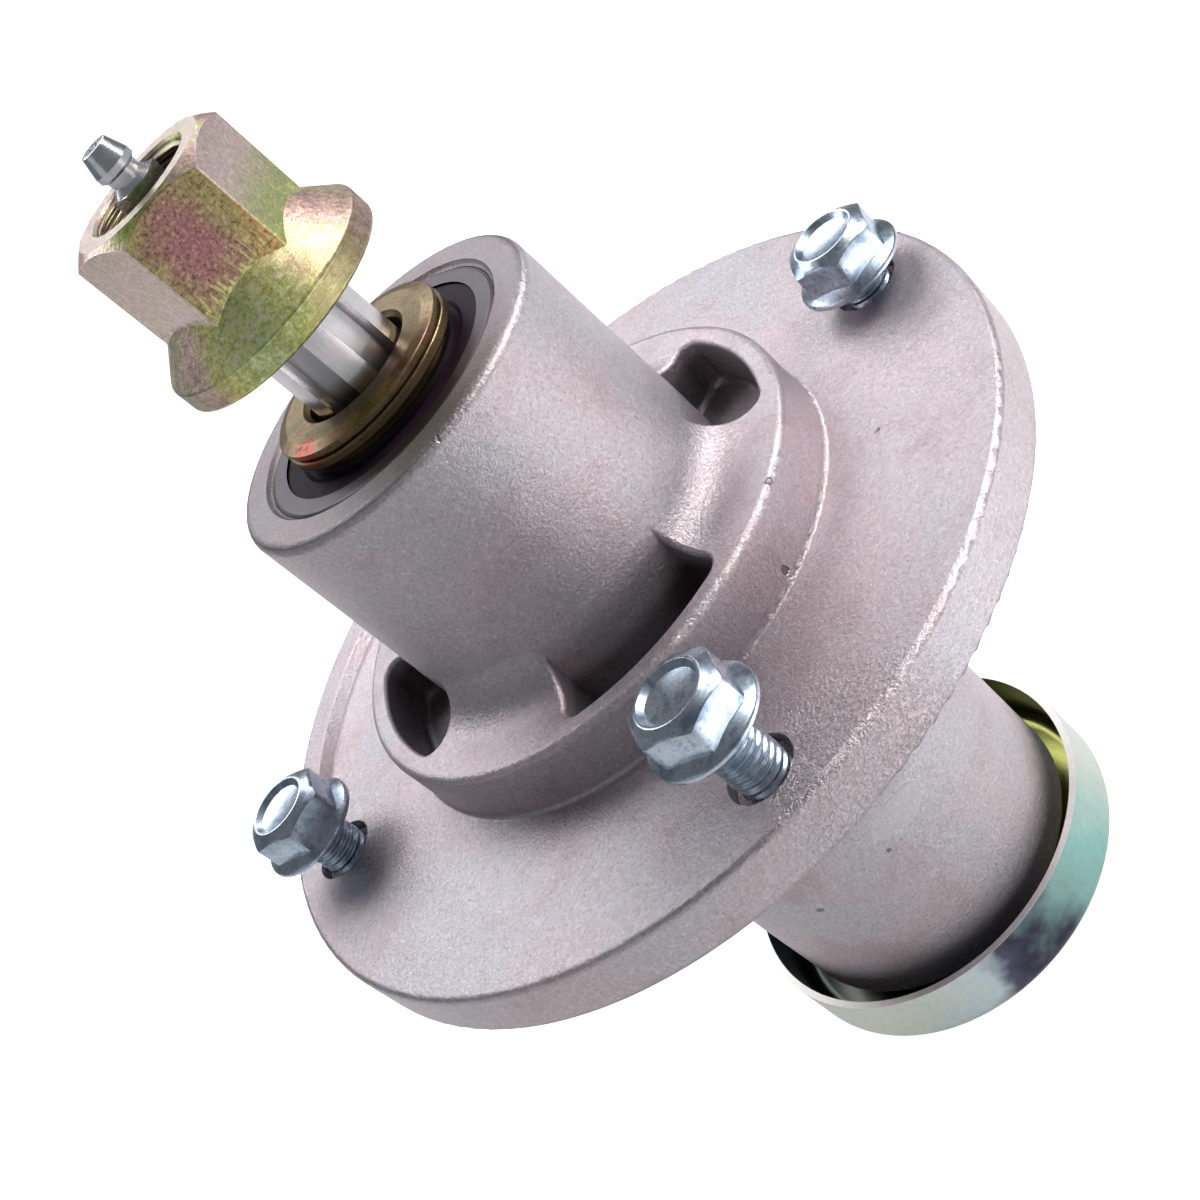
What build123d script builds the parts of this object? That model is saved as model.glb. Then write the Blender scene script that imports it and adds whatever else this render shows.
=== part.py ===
from build123d import *
from math import cos, radians, sin, sqrt, tan
import os

# Mower deck spindle: a cast aluminium housing with two ball bearings, in which a
# steel shaft carries the belt pulley above and the blade below.
# Millimetres. +Z is the spindle axis, towards the grease fitting. The origin is on
# that axis, in the plane of the flange's underside, which seats on the deck.

# Ball bearings, the same above and below
BEARING_D = 52.0
BEARING_BORE = 25.0
BEARING_W = 15.0
BEARING_RECESS = 0.5
BEARING_EDGE_R = 1.0
BALL_D = 7.938
BALL_COUNT = 9
BALL_FIT = 0.04
GROOVE_RATIO = 0.52
INNER_RING_D = 33.2
OUTER_RING_INNER_D = 42.8
SEAL_GROOVE_D = 46.0
SEAL_GROOVE_LIP_H = 0.1
SEAL_LIP_D = 44.7
SEAL_T = 1.1
SEAL_RECESS = 0.4
SEAL_FIT = 0.05
SEAL_BEAD_DROP = 0.35
SEAL_FACE_D = 44.6
SEAL_HOLLOW_D = 37.7
SEAL_HOLLOW_FOOT_D = 36.1
SEAL_HOLLOW_DEPTH = 0.3
CAGE_T = 1.5
CAGE_FIT = 0.15
CAGE_WALL = 0.8
CAGE_WEB_H = 1.6

# Housing. Its tubes follow the bearings' size, and its boss and flange the tubes'
UPPER_TUBE_WALL = 6.9
UPPER_TUBE_DRAFT = 0.5
UPPER_TUBE_TOP_D = BEARING_D + 2 * UPPER_TUBE_WALL
UPPER_TUBE_BASE_D = UPPER_TUBE_TOP_D + 2 * UPPER_TUBE_DRAFT
UPPER_TUBE_H = 57.0
UPPER_BLEND_R = 8.0
LOWER_TUBE_WALL = 7.3
LOWER_TUBE_DRAFT = 1.5
LOWER_TUBE_END_D = BEARING_D + 2 * LOWER_TUBE_WALL
LOWER_TUBE_BASE_D = LOWER_TUBE_END_D + 2 * LOWER_TUBE_DRAFT
LOWER_TUBE_H = 90.0
LOWER_BLEND_R = 10.0
TUBE_EDGE_R = 1.8
SEAT_STEP = 3.5
CAVITY_D = BEARING_D - 2 * SEAT_STEP
SEAT_CHAMFER = 0.9
BOSS_LEDGE = 15.6
BOSS_D = UPPER_TUBE_BASE_D + 2 * BOSS_LEDGE
BOSS_H = 12.0
BOSS_EDGE_R = 1.4
BOSS_FOOT_R = 0.8
BOLT_REACH = 21.5
BOLT_CIRCLE_D = BOSS_D + 2 * BOLT_REACH
BOLT_EDGE = 12.0
FLANGE_D = BOLT_CIRCLE_D + 2 * BOLT_EDGE
FLANGE_T = 11.0
FLANGE_EDGE_R = 1.2

# Low rib on the flange's margin, behind and to the left
RIB_MARGIN = 2.4
RIB_DRAFT = 1.2
RIB_W = 5.3
RIB_H = 2.4
RIB_EDGE_R = 0.5
RIB_MIDDLE = 129.0
RIB_HALF_ANGLE = 29.0

# Pockets in the boss, a quarter turn apart
POCKET_COUNT = 4
POCKET_TURN = -6.2
POCKET_HALF_ANGLE = 23.4
POCKET_WALL = 4.2
POCKET_OUTER_D = BOSS_D - 2 * POCKET_WALL
POCKET_DEPTH = 11.0
POCKET_CORNER_R = 3.0
POCKET_FLOOR_R = 1.5
POCKET_LIP_R = 1.0

# Bolts that hold the housing to the deck. Each is given by its direction from
# the axis, how far its head stands off the flange, and where a flat of it faces
BOLTS = (
    (-3.2, 4.6, 34.0),
    (83.8, 8.0, 10.0),
    (171.3, 8.1, 50.0),
    (263.8, 12.8, -13.0),
)
BOLT_D = 9.4
BOLT_L = 25.4
BOLT_TIP_CHAMFER = 1.2
BOLT_FLATS = 15.6
BOLT_WASHER_D = 20.5
BOLT_WASHER_T = 1.1
BOLT_WASHER_RISE = 1.0
BOLT_WASHER_EDGE_R = 0.4
BOLT_HEAD_H = 8.6
BOLT_CHAMFER_D = 14.2
BOLT_CHAMFER_ANGLE = 30.0
BOLT_SHOULDER_H = 0.7
BOLT_CROWN_D = 12.4
BOLT_DISH_D = 11.4
BOLT_DISH_FLOOR_D = 9.6
BOLT_DISH_DEPTH = 1.0
BOLT_FIT = 0.06
BOLT_MOUTH_D = 12.4
BOLT_MOUTH_DEPTH = 2.6
BOLT_MOUTH_CONE = 1.4

# Shaft
SHAFT_FIT = 0.02
SHAFT_D = BEARING_BORE - 2 * SHAFT_FIT
SHAFT_TOP_GAP = 0.3
SPLINE_COUNT = 6
SPLINE_D = 20.0
SPLINE_ROOT_D = 16.6
SPLINE_W = 4.4
SPLINE_TURN = -92.6
SPLINE_L = 21.0
THREAD_D = 19.0
THREAD_L = 23.6
THREAD_CHAMFER = 1.4
GREASE_BORE_D = 4.0
GREASE_CROSS_D = 3.5
HEAD_D = 36.0
HEAD_CHAMFER = 1.2
HEAD_BELOW_CUP = 8.0
BLADE_HOLE_D = 14.7
BLADE_HOLE_L = 30.0
BLADE_HOLE_CHAMFER = 1.0
DRILL_POINT_ANGLE = 118.0

# Spacer between the two inner rings
SPACER_D = 32.0
SPACER_FIT = 0.1
SPACER_PORT_D = 5.0

# Stepped washer above the upper bearing
WASHER_BORE = 21.8
WASHER_HUB_D = 30.4
WASHER_HUB_H = 2.0
WASHER_D = 36.8
WASHER_BAND_H = 1.7
WASHER_GROOVE_D = 35.2
WASHER_GROOVE_H = 0.5
WASHER_GROOVE_SLOPE = 0.25
WASHER_RIM_D = 36.4
WASHER_CROWN_D = 31.8
WASHER_CROWN_RISE = 0.6
WASHER_H = 6.0
WASHER_EDGE_R = 0.3
WASHER_CROWN_R = 1.2
WASHER_CHAMFER = 0.8

# Flange nut above the pulley seat
NUT_FLATS = 28.0
NUT_TURN = -92.7
NUT_H = 29.0
NUT_RIM_D = 42.4
NUT_RIM_H = 4.6
NUT_RIM_R = 0.8
NUT_CONE_H = 7.4
NUT_CONE_TOP_D = 27.6
NUT_CHAMFER_D = 26.6
NUT_CHAMFER_ANGLE = 36.0
NUT_CORNER_R = 0.7
NUT_FIT = 0.05
NUT_MOUTH_D = 20.4
NUT_GAP = 0.4

# Grease fitting in the shaft's end
FITTING_THREAD_D = 6.2
FITTING_THREAD_L = 6.0
FITTING_FIT = 0.03
FITTING_FLATS = 7.94
FITTING_HEX_H = 6.5
FITTING_SHOULDER_H = 1.1
FITTING_NECK_D = 5.6
FITTING_NECK_H = 1.4
FITTING_HEAD_D = 6.9
FITTING_HEAD_H = 5.0
FITTING_HEAD_BACK_H = 0.5
FITTING_BAND_H = 1.6
FITTING_TIP_D = 4.9
FITTING_TIP_R = 0.3
FITTING_MOUTH_D = 1.7
FITTING_MOUTH_L = 0.9
FITTING_CHAMBER_D = 3.0
FITTING_CHAMBER_L = 6.0
FITTING_BORE_D = 1.4
CHECK_BALL_D = 2.4
CHECK_BALL_FIT = 0.02
SPRING_D = 2.3
SPRING_WIRE_D = 0.3
SPRING_TURNS = 5
SPRING_SEAT_FIT = 0.02
SPRING_BALL_FIT = 0.05

# Pressed steel cup under the lower bearing
CUP_T = 1.4
CUP_GAP = 4.7
CUP_D = LOWER_TUBE_END_D + 2 * (CUP_GAP + CUP_T)
CUP_H = 15.8
CUP_LAP = 6.5
CUP_CORNER_R = 4.0
CUP_PLATEAU_D = 37.6
CUP_PLATEAU_FOOT_D = 44.0
CUP_BEND_R = 2.0
CUP_BORE_FIT = 0.05

# Heights that follow from the sizes above
BOSS_TOP = FLANGE_T + BOSS_H
UPPER_TUBE_TOP = FLANGE_T + UPPER_TUBE_H
UPPER_BEARING_TOP = UPPER_TUBE_TOP - BEARING_RECESS
UPPER_BEARING_BASE = UPPER_BEARING_TOP - BEARING_W
LOWER_BEARING_BASE = -LOWER_TUBE_H + BEARING_RECESS
LOWER_BEARING_TOP = LOWER_BEARING_BASE + BEARING_W
CAVITY_MIDDLE = (UPPER_BEARING_BASE + LOWER_BEARING_TOP) / 2
SHAFT_SHOULDER_TOP = UPPER_BEARING_TOP - SHAFT_TOP_GAP
SPLINE_END = SHAFT_SHOULDER_TOP + SPLINE_L
SHAFT_TOP = SPLINE_END + THREAD_L
NUT_BASE = SPLINE_END + NUT_GAP
NUT_TOP = NUT_BASE + NUT_H
CUP_PLATEAU_BASE = LOWER_BEARING_BASE - CUP_T
CUP_BASE = -LOWER_TUBE_H + CUP_LAP - CUP_H
HEAD_BASE = CUP_BASE - HEAD_BELOW_CUP
FITTING_NECK_BASE = SHAFT_TOP + FITTING_HEX_H + FITTING_SHOULDER_H
FITTING_HEAD_BASE = FITTING_NECK_BASE + FITTING_NECK_H
FITTING_TIP = FITTING_HEAD_BASE + FITTING_HEAD_H
CHAMBER_TOP = FITTING_TIP - FITTING_MOUTH_L
CHAMBER_BASE = CHAMBER_TOP - FITTING_CHAMBER_L


def turned(points, rounds=()):
    """Turn a closed outline of (radius, height) points about the axis. rounds
    gives (corner number, radius) for each rounded corner."""
    outline = make_face(Polyline(*points, close=True))
    for corner, radius in rounds:
        spot = Vector(*points[corner])
        outline = fillet(outline.vertices().sort_by_distance(spot)[0], radius)
    return revolve(Plane.XZ * outline, Axis.Z)


def rod(diameter, low, high, x=0.0, y=0.0):
    """A plain round bar parallel to the axis between two heights."""
    return Pos(x, y, (low + high) / 2) * Cylinder(diameter / 2, high - low)


def hexagon(flats, low, high, turn, corner_r=0.0):
    """A hexagonal bar. turn is the direction in which one flat faces."""
    section = RegularPolygon(flats / 2, 6, major_radius=False, rotation=turn + 30)
    if corner_r:
        section = fillet(section.vertices(), corner_r)
    return Pos(0, 0, low) * extrude(section, amount=high - low)


def polar(radius, angle):
    """The point at a radius and an angle in degrees."""
    return radius * cos(radians(angle)), radius * sin(radians(angle))


def housing_outside():
    """The casting's outer form: tube, boss, flange and tube, with its draft."""
    return turned(
        [
            (0, -LOWER_TUBE_H),
            (LOWER_TUBE_END_D / 2, -LOWER_TUBE_H),
            (LOWER_TUBE_BASE_D / 2, 0),
            (FLANGE_D / 2, 0),
            (FLANGE_D / 2, FLANGE_T),
            (BOSS_D / 2, FLANGE_T),
            (BOSS_D / 2, BOSS_TOP),
            (UPPER_TUBE_BASE_D / 2, BOSS_TOP),
            (UPPER_TUBE_TOP_D / 2, UPPER_TUBE_TOP),
            (0, UPPER_TUBE_TOP),
        ],
        [
            (1, TUBE_EDGE_R),
            (2, LOWER_BLEND_R),
            (3, FLANGE_EDGE_R),
            (4, FLANGE_EDGE_R),
            (5, BOSS_FOOT_R),
            (6, BOSS_EDGE_R),
            (7, UPPER_BLEND_R),
            (8, TUBE_EDGE_R),
        ],
    )


def housing_inside():
    """The cored cavity and the two machined bearing seats."""
    seat, mouth = BEARING_D / 2, BEARING_D / 2 + SEAT_CHAMFER
    return turned(
        [
            (0, -LOWER_TUBE_H - 1),
            (mouth, -LOWER_TUBE_H - 1),
            (mouth, -LOWER_TUBE_H),
            (seat, -LOWER_TUBE_H + SEAT_CHAMFER),
            (seat, LOWER_BEARING_TOP),
            (CAVITY_D / 2, LOWER_BEARING_TOP),
            (CAVITY_D / 2, UPPER_BEARING_BASE),
            (seat, UPPER_BEARING_BASE),
            (seat, UPPER_TUBE_TOP - SEAT_CHAMFER),
            (mouth, UPPER_TUBE_TOP),
            (mouth, UPPER_TUBE_TOP + 1),
            (0, UPPER_TUBE_TOP + 1),
        ]
    )


def edge_rib():
    """The low rib on the flange's margin, with a drafted wall on each side."""
    outer_foot = FLANGE_D / 2 - RIB_MARGIN
    outer_crest = outer_foot - RIB_DRAFT
    inner_crest = outer_crest - RIB_W
    inner_foot = inner_crest - RIB_DRAFT
    top = FLANGE_T + RIB_H
    section = make_face(
        Polyline(
            (inner_foot, FLANGE_T - 1),
            (inner_foot, FLANGE_T),
            (inner_crest, top),
            (outer_crest, top),
            (outer_foot, FLANGE_T),
            (outer_foot, FLANGE_T - 1),
            close=True,
        )
    )
    crest = section.vertices().group_by(Axis.Y)[-1]
    section = fillet(crest, RIB_EDGE_R)
    rib = revolve(Plane.XZ * section, Axis.Z, 2 * RIB_HALF_ANGLE)
    return Rot(0, 0, RIB_MIDDLE - RIB_HALF_ANGLE) * rib


def pocket():
    """The space of one pocket, centred on the X axis. It runs up past the blend
    at the foot of the tube, so the tube's wall stands bare behind it."""
    inner, outer = UPPER_TUBE_BASE_D / 2, POCKET_OUTER_D / 2
    floor, top = BOSS_TOP - POCKET_DEPTH, BOSS_TOP + UPPER_BLEND_R + 1
    section = make_face(Polyline((inner, floor), (outer, floor), (outer, top), (inner, top), close=True))
    space = revolve(Plane.XZ * section, Axis.Z, 2 * POCKET_HALF_ANGLE)
    space = Rot(0, 0, -POCKET_HALF_ANGLE) * space
    upright = space.edges().filter_by(Axis.Z)
    corners = [e for e in upright if abs(e.center().X) > inner + 1]
    space = fillet(corners, POCKET_CORNER_R)
    foot = space.edges().group_by(Axis.Z)[0]
    wall = [e for e in foot if e.center().X > inner * cos(radians(POCKET_HALF_ANGLE)) + 1.0]
    return fillet(wall, POCKET_FLOOR_R)


def pocket_rims(body):
    """The arcs where the pockets' outer walls meet the boss's top."""
    arcs = body.edges().filter_by(GeomType.CIRCLE)
    arcs = arcs.filter_by_position(Axis.Z, BOSS_TOP - 0.01, BOSS_TOP + 0.01)
    return [arc for arc in arcs if abs(arc.radius - POCKET_OUTER_D / 2) < 0.01]


def bolt_hole(x, y):
    """A hole that the bolt cuts its thread in, with a wider cast mouth."""
    mouth_r, core_r = BOLT_MOUTH_D / 2, BOLT_D / 2 + BOLT_FIT
    mouth = turned(
        [
            (0, FLANGE_T + 1),
            (mouth_r, FLANGE_T + 1),
            (mouth_r, FLANGE_T - BOLT_MOUTH_DEPTH),
            (core_r, FLANGE_T - BOLT_MOUTH_DEPTH - BOLT_MOUTH_CONE),
            (core_r, -1),
            (0, -1),
        ]
    )
    return Pos(x, y, 0) * mouth


def housing():
    """The casting: flange, boss with pockets, and the tubes round the bearings."""
    body = housing_outside() + edge_rib() - housing_inside()
    for i in range(POCKET_COUNT):
        body -= Rot(0, 0, POCKET_TURN + i * 360 / POCKET_COUNT) * pocket()
    body = fillet(pocket_rims(body), POCKET_LIP_R)
    for direction, _, _ in BOLTS:
        body -= bolt_hole(*polar(BOLT_CIRCLE_D / 2, direction))
    return body


def deck_bolt(standoff, turn):
    """A flange bolt, its seat at the given height above the flange. Its head has
    a sloping shoulder inside the chamfer and a shallow dish in the top."""
    washer_r, hexagon_r = BOLT_WASHER_D / 2, BOLT_FLATS / sqrt(3)
    base = FLANGE_T + standoff
    washer_top = base + BOLT_WASHER_T + BOLT_WASHER_RISE
    washer = turned(
        [
            (0, base),
            (washer_r, base),
            (washer_r, base + BOLT_WASHER_T),
            (BOLT_FLATS / 2, washer_top),
            (0, washer_top),
        ],
        [(2, BOLT_WASHER_EDGE_R)],
    )
    top = base + BOLT_HEAD_H
    shoulder, chamfer_r = top - BOLT_SHOULDER_H, BOLT_CHAMFER_D / 2
    reach = hexagon_r + 1
    drop = (reach - chamfer_r) * tan(radians(BOLT_CHAMFER_ANGLE))
    crown = turned(
        [
            (0, base),
            (reach, base),
            (reach, shoulder - drop),
            (chamfer_r, shoulder),
            (BOLT_CROWN_D / 2, top),
            (0, top),
        ]
    )
    dish = turned(
        [
            (0, top + 1),
            (BOLT_DISH_D / 2, top + 1),
            (BOLT_DISH_D / 2, top),
            (BOLT_DISH_FLOOR_D / 2, top - BOLT_DISH_DEPTH),
            (0, top - BOLT_DISH_DEPTH),
        ]
    )
    shank_r, tip = BOLT_D / 2, base - BOLT_L
    shank = turned(
        [
            (0, base + 1),
            (shank_r, base + 1),
            (shank_r, tip + BOLT_TIP_CHAMFER),
            (shank_r - BOLT_TIP_CHAMFER, tip),
            (0, tip),
        ]
    )
    head = hexagon(BOLT_FLATS, base, top, turn) & crown
    return washer + (head - dish) + shank


def deck_bolts():
    """The four bolts, started by hand and so at four heights."""
    bolts = []
    for direction, standoff, turn in BOLTS:
        place = Pos(*polar(BOLT_CIRCLE_D / 2, direction))
        bolts.append(place * deck_bolt(standoff, turn))
    return Compound(children=bolts)


def groove(ring_r, side):
    """The ball groove of a ring, a torus. side is 1 where the ring lies outside the
    balls and -1 where it lies inside them."""
    groove_r = GROOVE_RATIO * BALL_D
    centre_r = ring_r - side * groove_r
    return Torus(centre_r, groove_r)


def ball_circle_r():
    """The radius on which the balls' centres run."""
    return (BEARING_D + BEARING_BORE) / 4


def outer_ring():
    """A bearing's outer ring about the origin, with a groove for the balls and a
    stepped groove at each face for a seal."""
    half, out_r = BEARING_W / 2, BEARING_D / 2
    step = half - SEAL_RECESS - SEAL_T
    lip = half - SEAL_RECESS - SEAL_GROOVE_LIP_H
    ring = turned(
        [
            (OUTER_RING_INNER_D / 2, -step),
            (SEAL_GROOVE_D / 2, -step),
            (SEAL_GROOVE_D / 2, -lip),
            (SEAL_LIP_D / 2, -half),
            (out_r, -half),
            (out_r, half),
            (SEAL_LIP_D / 2, half),
            (SEAL_GROOVE_D / 2, lip),
            (SEAL_GROOVE_D / 2, step),
            (OUTER_RING_INNER_D / 2, step),
        ],
        [(4, BEARING_EDGE_R), (5, BEARING_EDGE_R)],
    )
    return ring - groove(ball_circle_r() + BALL_D / 2 + BALL_FIT, 1)


def inner_ring():
    """A bearing's inner ring about the origin."""
    half, bore_r, out_r = BEARING_W / 2, BEARING_BORE / 2, INNER_RING_D / 2
    ring = turned(
        [(bore_r, -half), (out_r, -half), (out_r, half), (bore_r, half)],
        [(0, BEARING_EDGE_R), (3, BEARING_EDGE_R)],
    )
    return ring - groove(ball_circle_r() - BALL_D / 2 - BALL_FIT, -1)


def balls():
    """The ring of balls, a group of separate solids."""
    ball = Sphere(BALL_D / 2)
    return [Pos(*polar(ball_circle_r(), i * 360 / BALL_COUNT)) * ball for i in range(BALL_COUNT)]


def cage():
    """The pressed ribbon cage: a flat web that swells to an eye round every ball."""
    low, high = ball_circle_r() - CAGE_T / 2, ball_circle_r() + CAGE_T / 2
    hole_r = BALL_D / 2 + CAGE_FIT
    eye_r, web = hole_r + CAGE_WALL, CAGE_WEB_H / 2
    band = turned([(low, -eye_r), (high, -eye_r), (high, eye_r), (low, eye_r)])
    ribbon = turned([(low, -web), (high, -web), (high, web), (low, web)])
    for i in range(BALL_COUNT):
        ribbon += band & ball_spoke(eye_r, i)
    for i in range(BALL_COUNT):
        ribbon -= ball_spoke(hole_r, i)
    return ribbon


def ball_spoke(radius, i):
    """A round bar that runs out through the centre of ball i."""
    length = ball_circle_r() + BALL_D
    spoke = Pos(length / 2, 0, 0) * Rot(0, 90, 0) * Cylinder(radius, length)
    return Rot(0, 0, i * 360 / BALL_COUNT) * spoke


def seal():
    """The rubber seal of a bearing's upper face: a bead held in the outer ring's
    groove, a shallow stepped disc and a lip that runs on the inner ring."""
    face = BEARING_W / 2 - SEAL_RECESS
    back = face - SEAL_T + SEAL_FIT
    lip_r, bead_r = INNER_RING_D / 2 + SEAL_FIT, SEAL_GROOVE_D / 2 - SEAL_FIT
    return turned(
        [
            (lip_r, back),
            (bead_r, back),
            (bead_r, face - SEAL_BEAD_DROP),
            (SEAL_FACE_D / 2, face),
            (SEAL_HOLLOW_D / 2, face),
            (SEAL_HOLLOW_FOOT_D / 2, face - SEAL_HOLLOW_DEPTH),
            (lip_r, face - SEAL_HOLLOW_DEPTH),
        ]
    )


def bearing(name, middle, facing):
    """The pieces of one bearing. facing is 1 where its sealed face looks up."""
    place = Pos(0, 0, middle)
    sealed = place if facing > 0 else place * Rot(180, 0, 0)
    return {
        name + "_outer_ring": place * outer_ring(),
        name + "_inner_ring": place * inner_ring(),
        name + "_balls": Compound(children=[place * ball for ball in balls()]),
        name + "_cage": place * cage(),
        name + "_seal": sealed * seal(),
    }


def bearing_spacer():
    """The tube between the inner rings, with a port for the grease on each side."""
    inner_r = SHAFT_D / 2 + SPACER_FIT
    tube = turned(
        [
            (inner_r, LOWER_BEARING_TOP),
            (SPACER_D / 2, LOWER_BEARING_TOP),
            (SPACER_D / 2, UPPER_BEARING_BASE),
            (inner_r, UPPER_BEARING_BASE),
        ]
    )
    return tube - grease_port(SPACER_PORT_D, SPACER_D + 2)


def grease_port(diameter, length):
    """A round bar across the axis, halfway between the bearings."""
    return Pos(0, 0, CAVITY_MIDDLE) * Rot(0, 90, 0) * Cylinder(diameter / 2, length)


def drilled(diameter, mouth, depth, direction):
    """A drilled hole from a mouth height, with the drill's point at its end.
    direction is 1 where it goes up and -1 where it goes down."""
    hole_r = diameter / 2
    point = hole_r / tan(radians(DRILL_POINT_ANGLE / 2))
    return turned(
        [
            (0, mouth - direction),
            (hole_r, mouth - direction),
            (hole_r, mouth + direction * depth),
            (0, mouth + direction * (depth + point)),
        ]
    )


def spindle_shaft():
    """The shaft: a round head for the blade, the bearing journal, six straight
    splines for the pulley and the threaded end, with the grease passage."""
    head_r, shaft_r, thread_r = HEAD_D / 2, SHAFT_D / 2, THREAD_D / 2
    head = turned(
        [
            (0, HEAD_BASE),
            (head_r - HEAD_CHAMFER, HEAD_BASE),
            (head_r, HEAD_BASE + HEAD_CHAMFER),
            (head_r, CUP_PLATEAU_BASE - HEAD_CHAMFER),
            (head_r - HEAD_CHAMFER, CUP_PLATEAU_BASE),
            (0, CUP_PLATEAU_BASE),
        ]
    )
    journal = rod(SHAFT_D, CUP_PLATEAU_BASE, SHAFT_SHOULDER_TOP)
    root = rod(SPLINE_ROOT_D, SHAFT_SHOULDER_TOP, SPLINE_END)
    tooth = Pos(SPLINE_D / 4, 0, (SHAFT_SHOULDER_TOP + SPLINE_END) / 2) * Box(
        SPLINE_D / 2, SPLINE_W, SPLINE_END - SHAFT_SHOULDER_TOP
    )
    teeth = root
    for i in range(SPLINE_COUNT):
        teeth += Rot(0, 0, SPLINE_TURN + i * 360 / SPLINE_COUNT) * tooth
    teeth &= rod(SPLINE_D, SHAFT_SHOULDER_TOP, SPLINE_END)
    thread = turned(
        [
            (0, SPLINE_END),
            (thread_r, SPLINE_END),
            (thread_r, SHAFT_TOP - THREAD_CHAMFER),
            (thread_r - THREAD_CHAMFER, SHAFT_TOP),
            (0, SHAFT_TOP),
        ]
    )
    shaft = head + journal + teeth + thread
    shaft -= drilled(GREASE_BORE_D, SHAFT_TOP, SHAFT_TOP - CAVITY_MIDDLE, -1)
    shaft -= drilled(FITTING_THREAD_D + 2 * FITTING_FIT, SHAFT_TOP, FITTING_THREAD_L + 1, -1)
    shaft -= grease_port(GREASE_CROSS_D, SHAFT_D + 2)
    shaft -= drilled(BLADE_HOLE_D, HEAD_BASE, BLADE_HOLE_L, 1)
    mouth_r = BLADE_HOLE_D / 2 + BLADE_HOLE_CHAMFER
    shaft -= turned([(0, HEAD_BASE - 1), (mouth_r + 1, HEAD_BASE - 1), (0, HEAD_BASE + mouth_r)])
    return shaft


def top_washer():
    """The washer that bears on the upper inner ring and carries the pulley. Its
    hub clears the seal, its side is grooved and its face falls to a low rim."""
    base = UPPER_BEARING_TOP
    band_low = base + WASHER_HUB_H
    band_high = band_low + WASHER_BAND_H
    groove_low = band_high + WASHER_GROOVE_SLOPE
    groove_high = groove_low + WASHER_GROOVE_H
    top = base + WASHER_H
    bore_r, hub_r = WASHER_BORE / 2, WASHER_HUB_D / 2
    disc_r, groove_r, rim_r = WASHER_D / 2, WASHER_GROOVE_D / 2, WASHER_RIM_D / 2
    return turned(
        [
            (bore_r, base),
            (hub_r, base),
            (hub_r, band_low),
            (disc_r, band_low),
            (disc_r, band_high),
            (groove_r, groove_low),
            (groove_r, groove_high),
            (rim_r, groove_high + WASHER_GROOVE_SLOPE),
            (rim_r, top - WASHER_CROWN_RISE),
            (WASHER_CROWN_D / 2, top),
            (bore_r + WASHER_CHAMFER, top),
            (bore_r, top - WASHER_CHAMFER),
        ],
        [(3, WASHER_EDGE_R), (4, WASHER_EDGE_R), (8, WASHER_EDGE_R), (9, WASHER_CROWN_R)],
    )


def top_nut():
    """The tall flange nut: a hexagon that runs into a cone and a thick rim."""
    rim_r, cone_r = NUT_RIM_D / 2, NUT_CONE_TOP_D / 2
    corner_r = NUT_FLATS / sqrt(3)
    chamfer_r = NUT_CHAMFER_D / 2
    slope = tan(radians(NUT_CHAMFER_ANGLE))
    cone = turned(
        [
            (0, NUT_BASE),
            (rim_r, NUT_BASE),
            (rim_r, NUT_BASE + NUT_RIM_H),
            (cone_r, NUT_BASE + NUT_RIM_H + NUT_CONE_H),
            (0, NUT_BASE + NUT_RIM_H + NUT_CONE_H),
        ],
        [(1, NUT_RIM_R), (2, NUT_RIM_R)],
    )
    reach = corner_r + 2
    cap = turned(
        [
            (0, NUT_BASE),
            (reach, NUT_BASE),
            (reach, NUT_TOP - (reach - chamfer_r) * slope),
            (chamfer_r, NUT_TOP),
            (0, NUT_TOP),
        ]
    )
    nut = cone + (hexagon(NUT_FLATS, NUT_BASE, NUT_TOP, NUT_TURN, NUT_CORNER_R) & cap)
    bore_r, mouth_r = THREAD_D / 2 + NUT_FIT, NUT_MOUTH_D / 2
    bore = turned(
        [
            (0, NUT_BASE - 1),
            (mouth_r + 1, NUT_BASE - 1),
            (bore_r, NUT_BASE + mouth_r - bore_r),
            (bore_r, NUT_TOP + bore_r - mouth_r),
            (mouth_r + 1, NUT_TOP + 1),
            (0, NUT_TOP + 1),
        ]
    )
    return nut - bore


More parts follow.
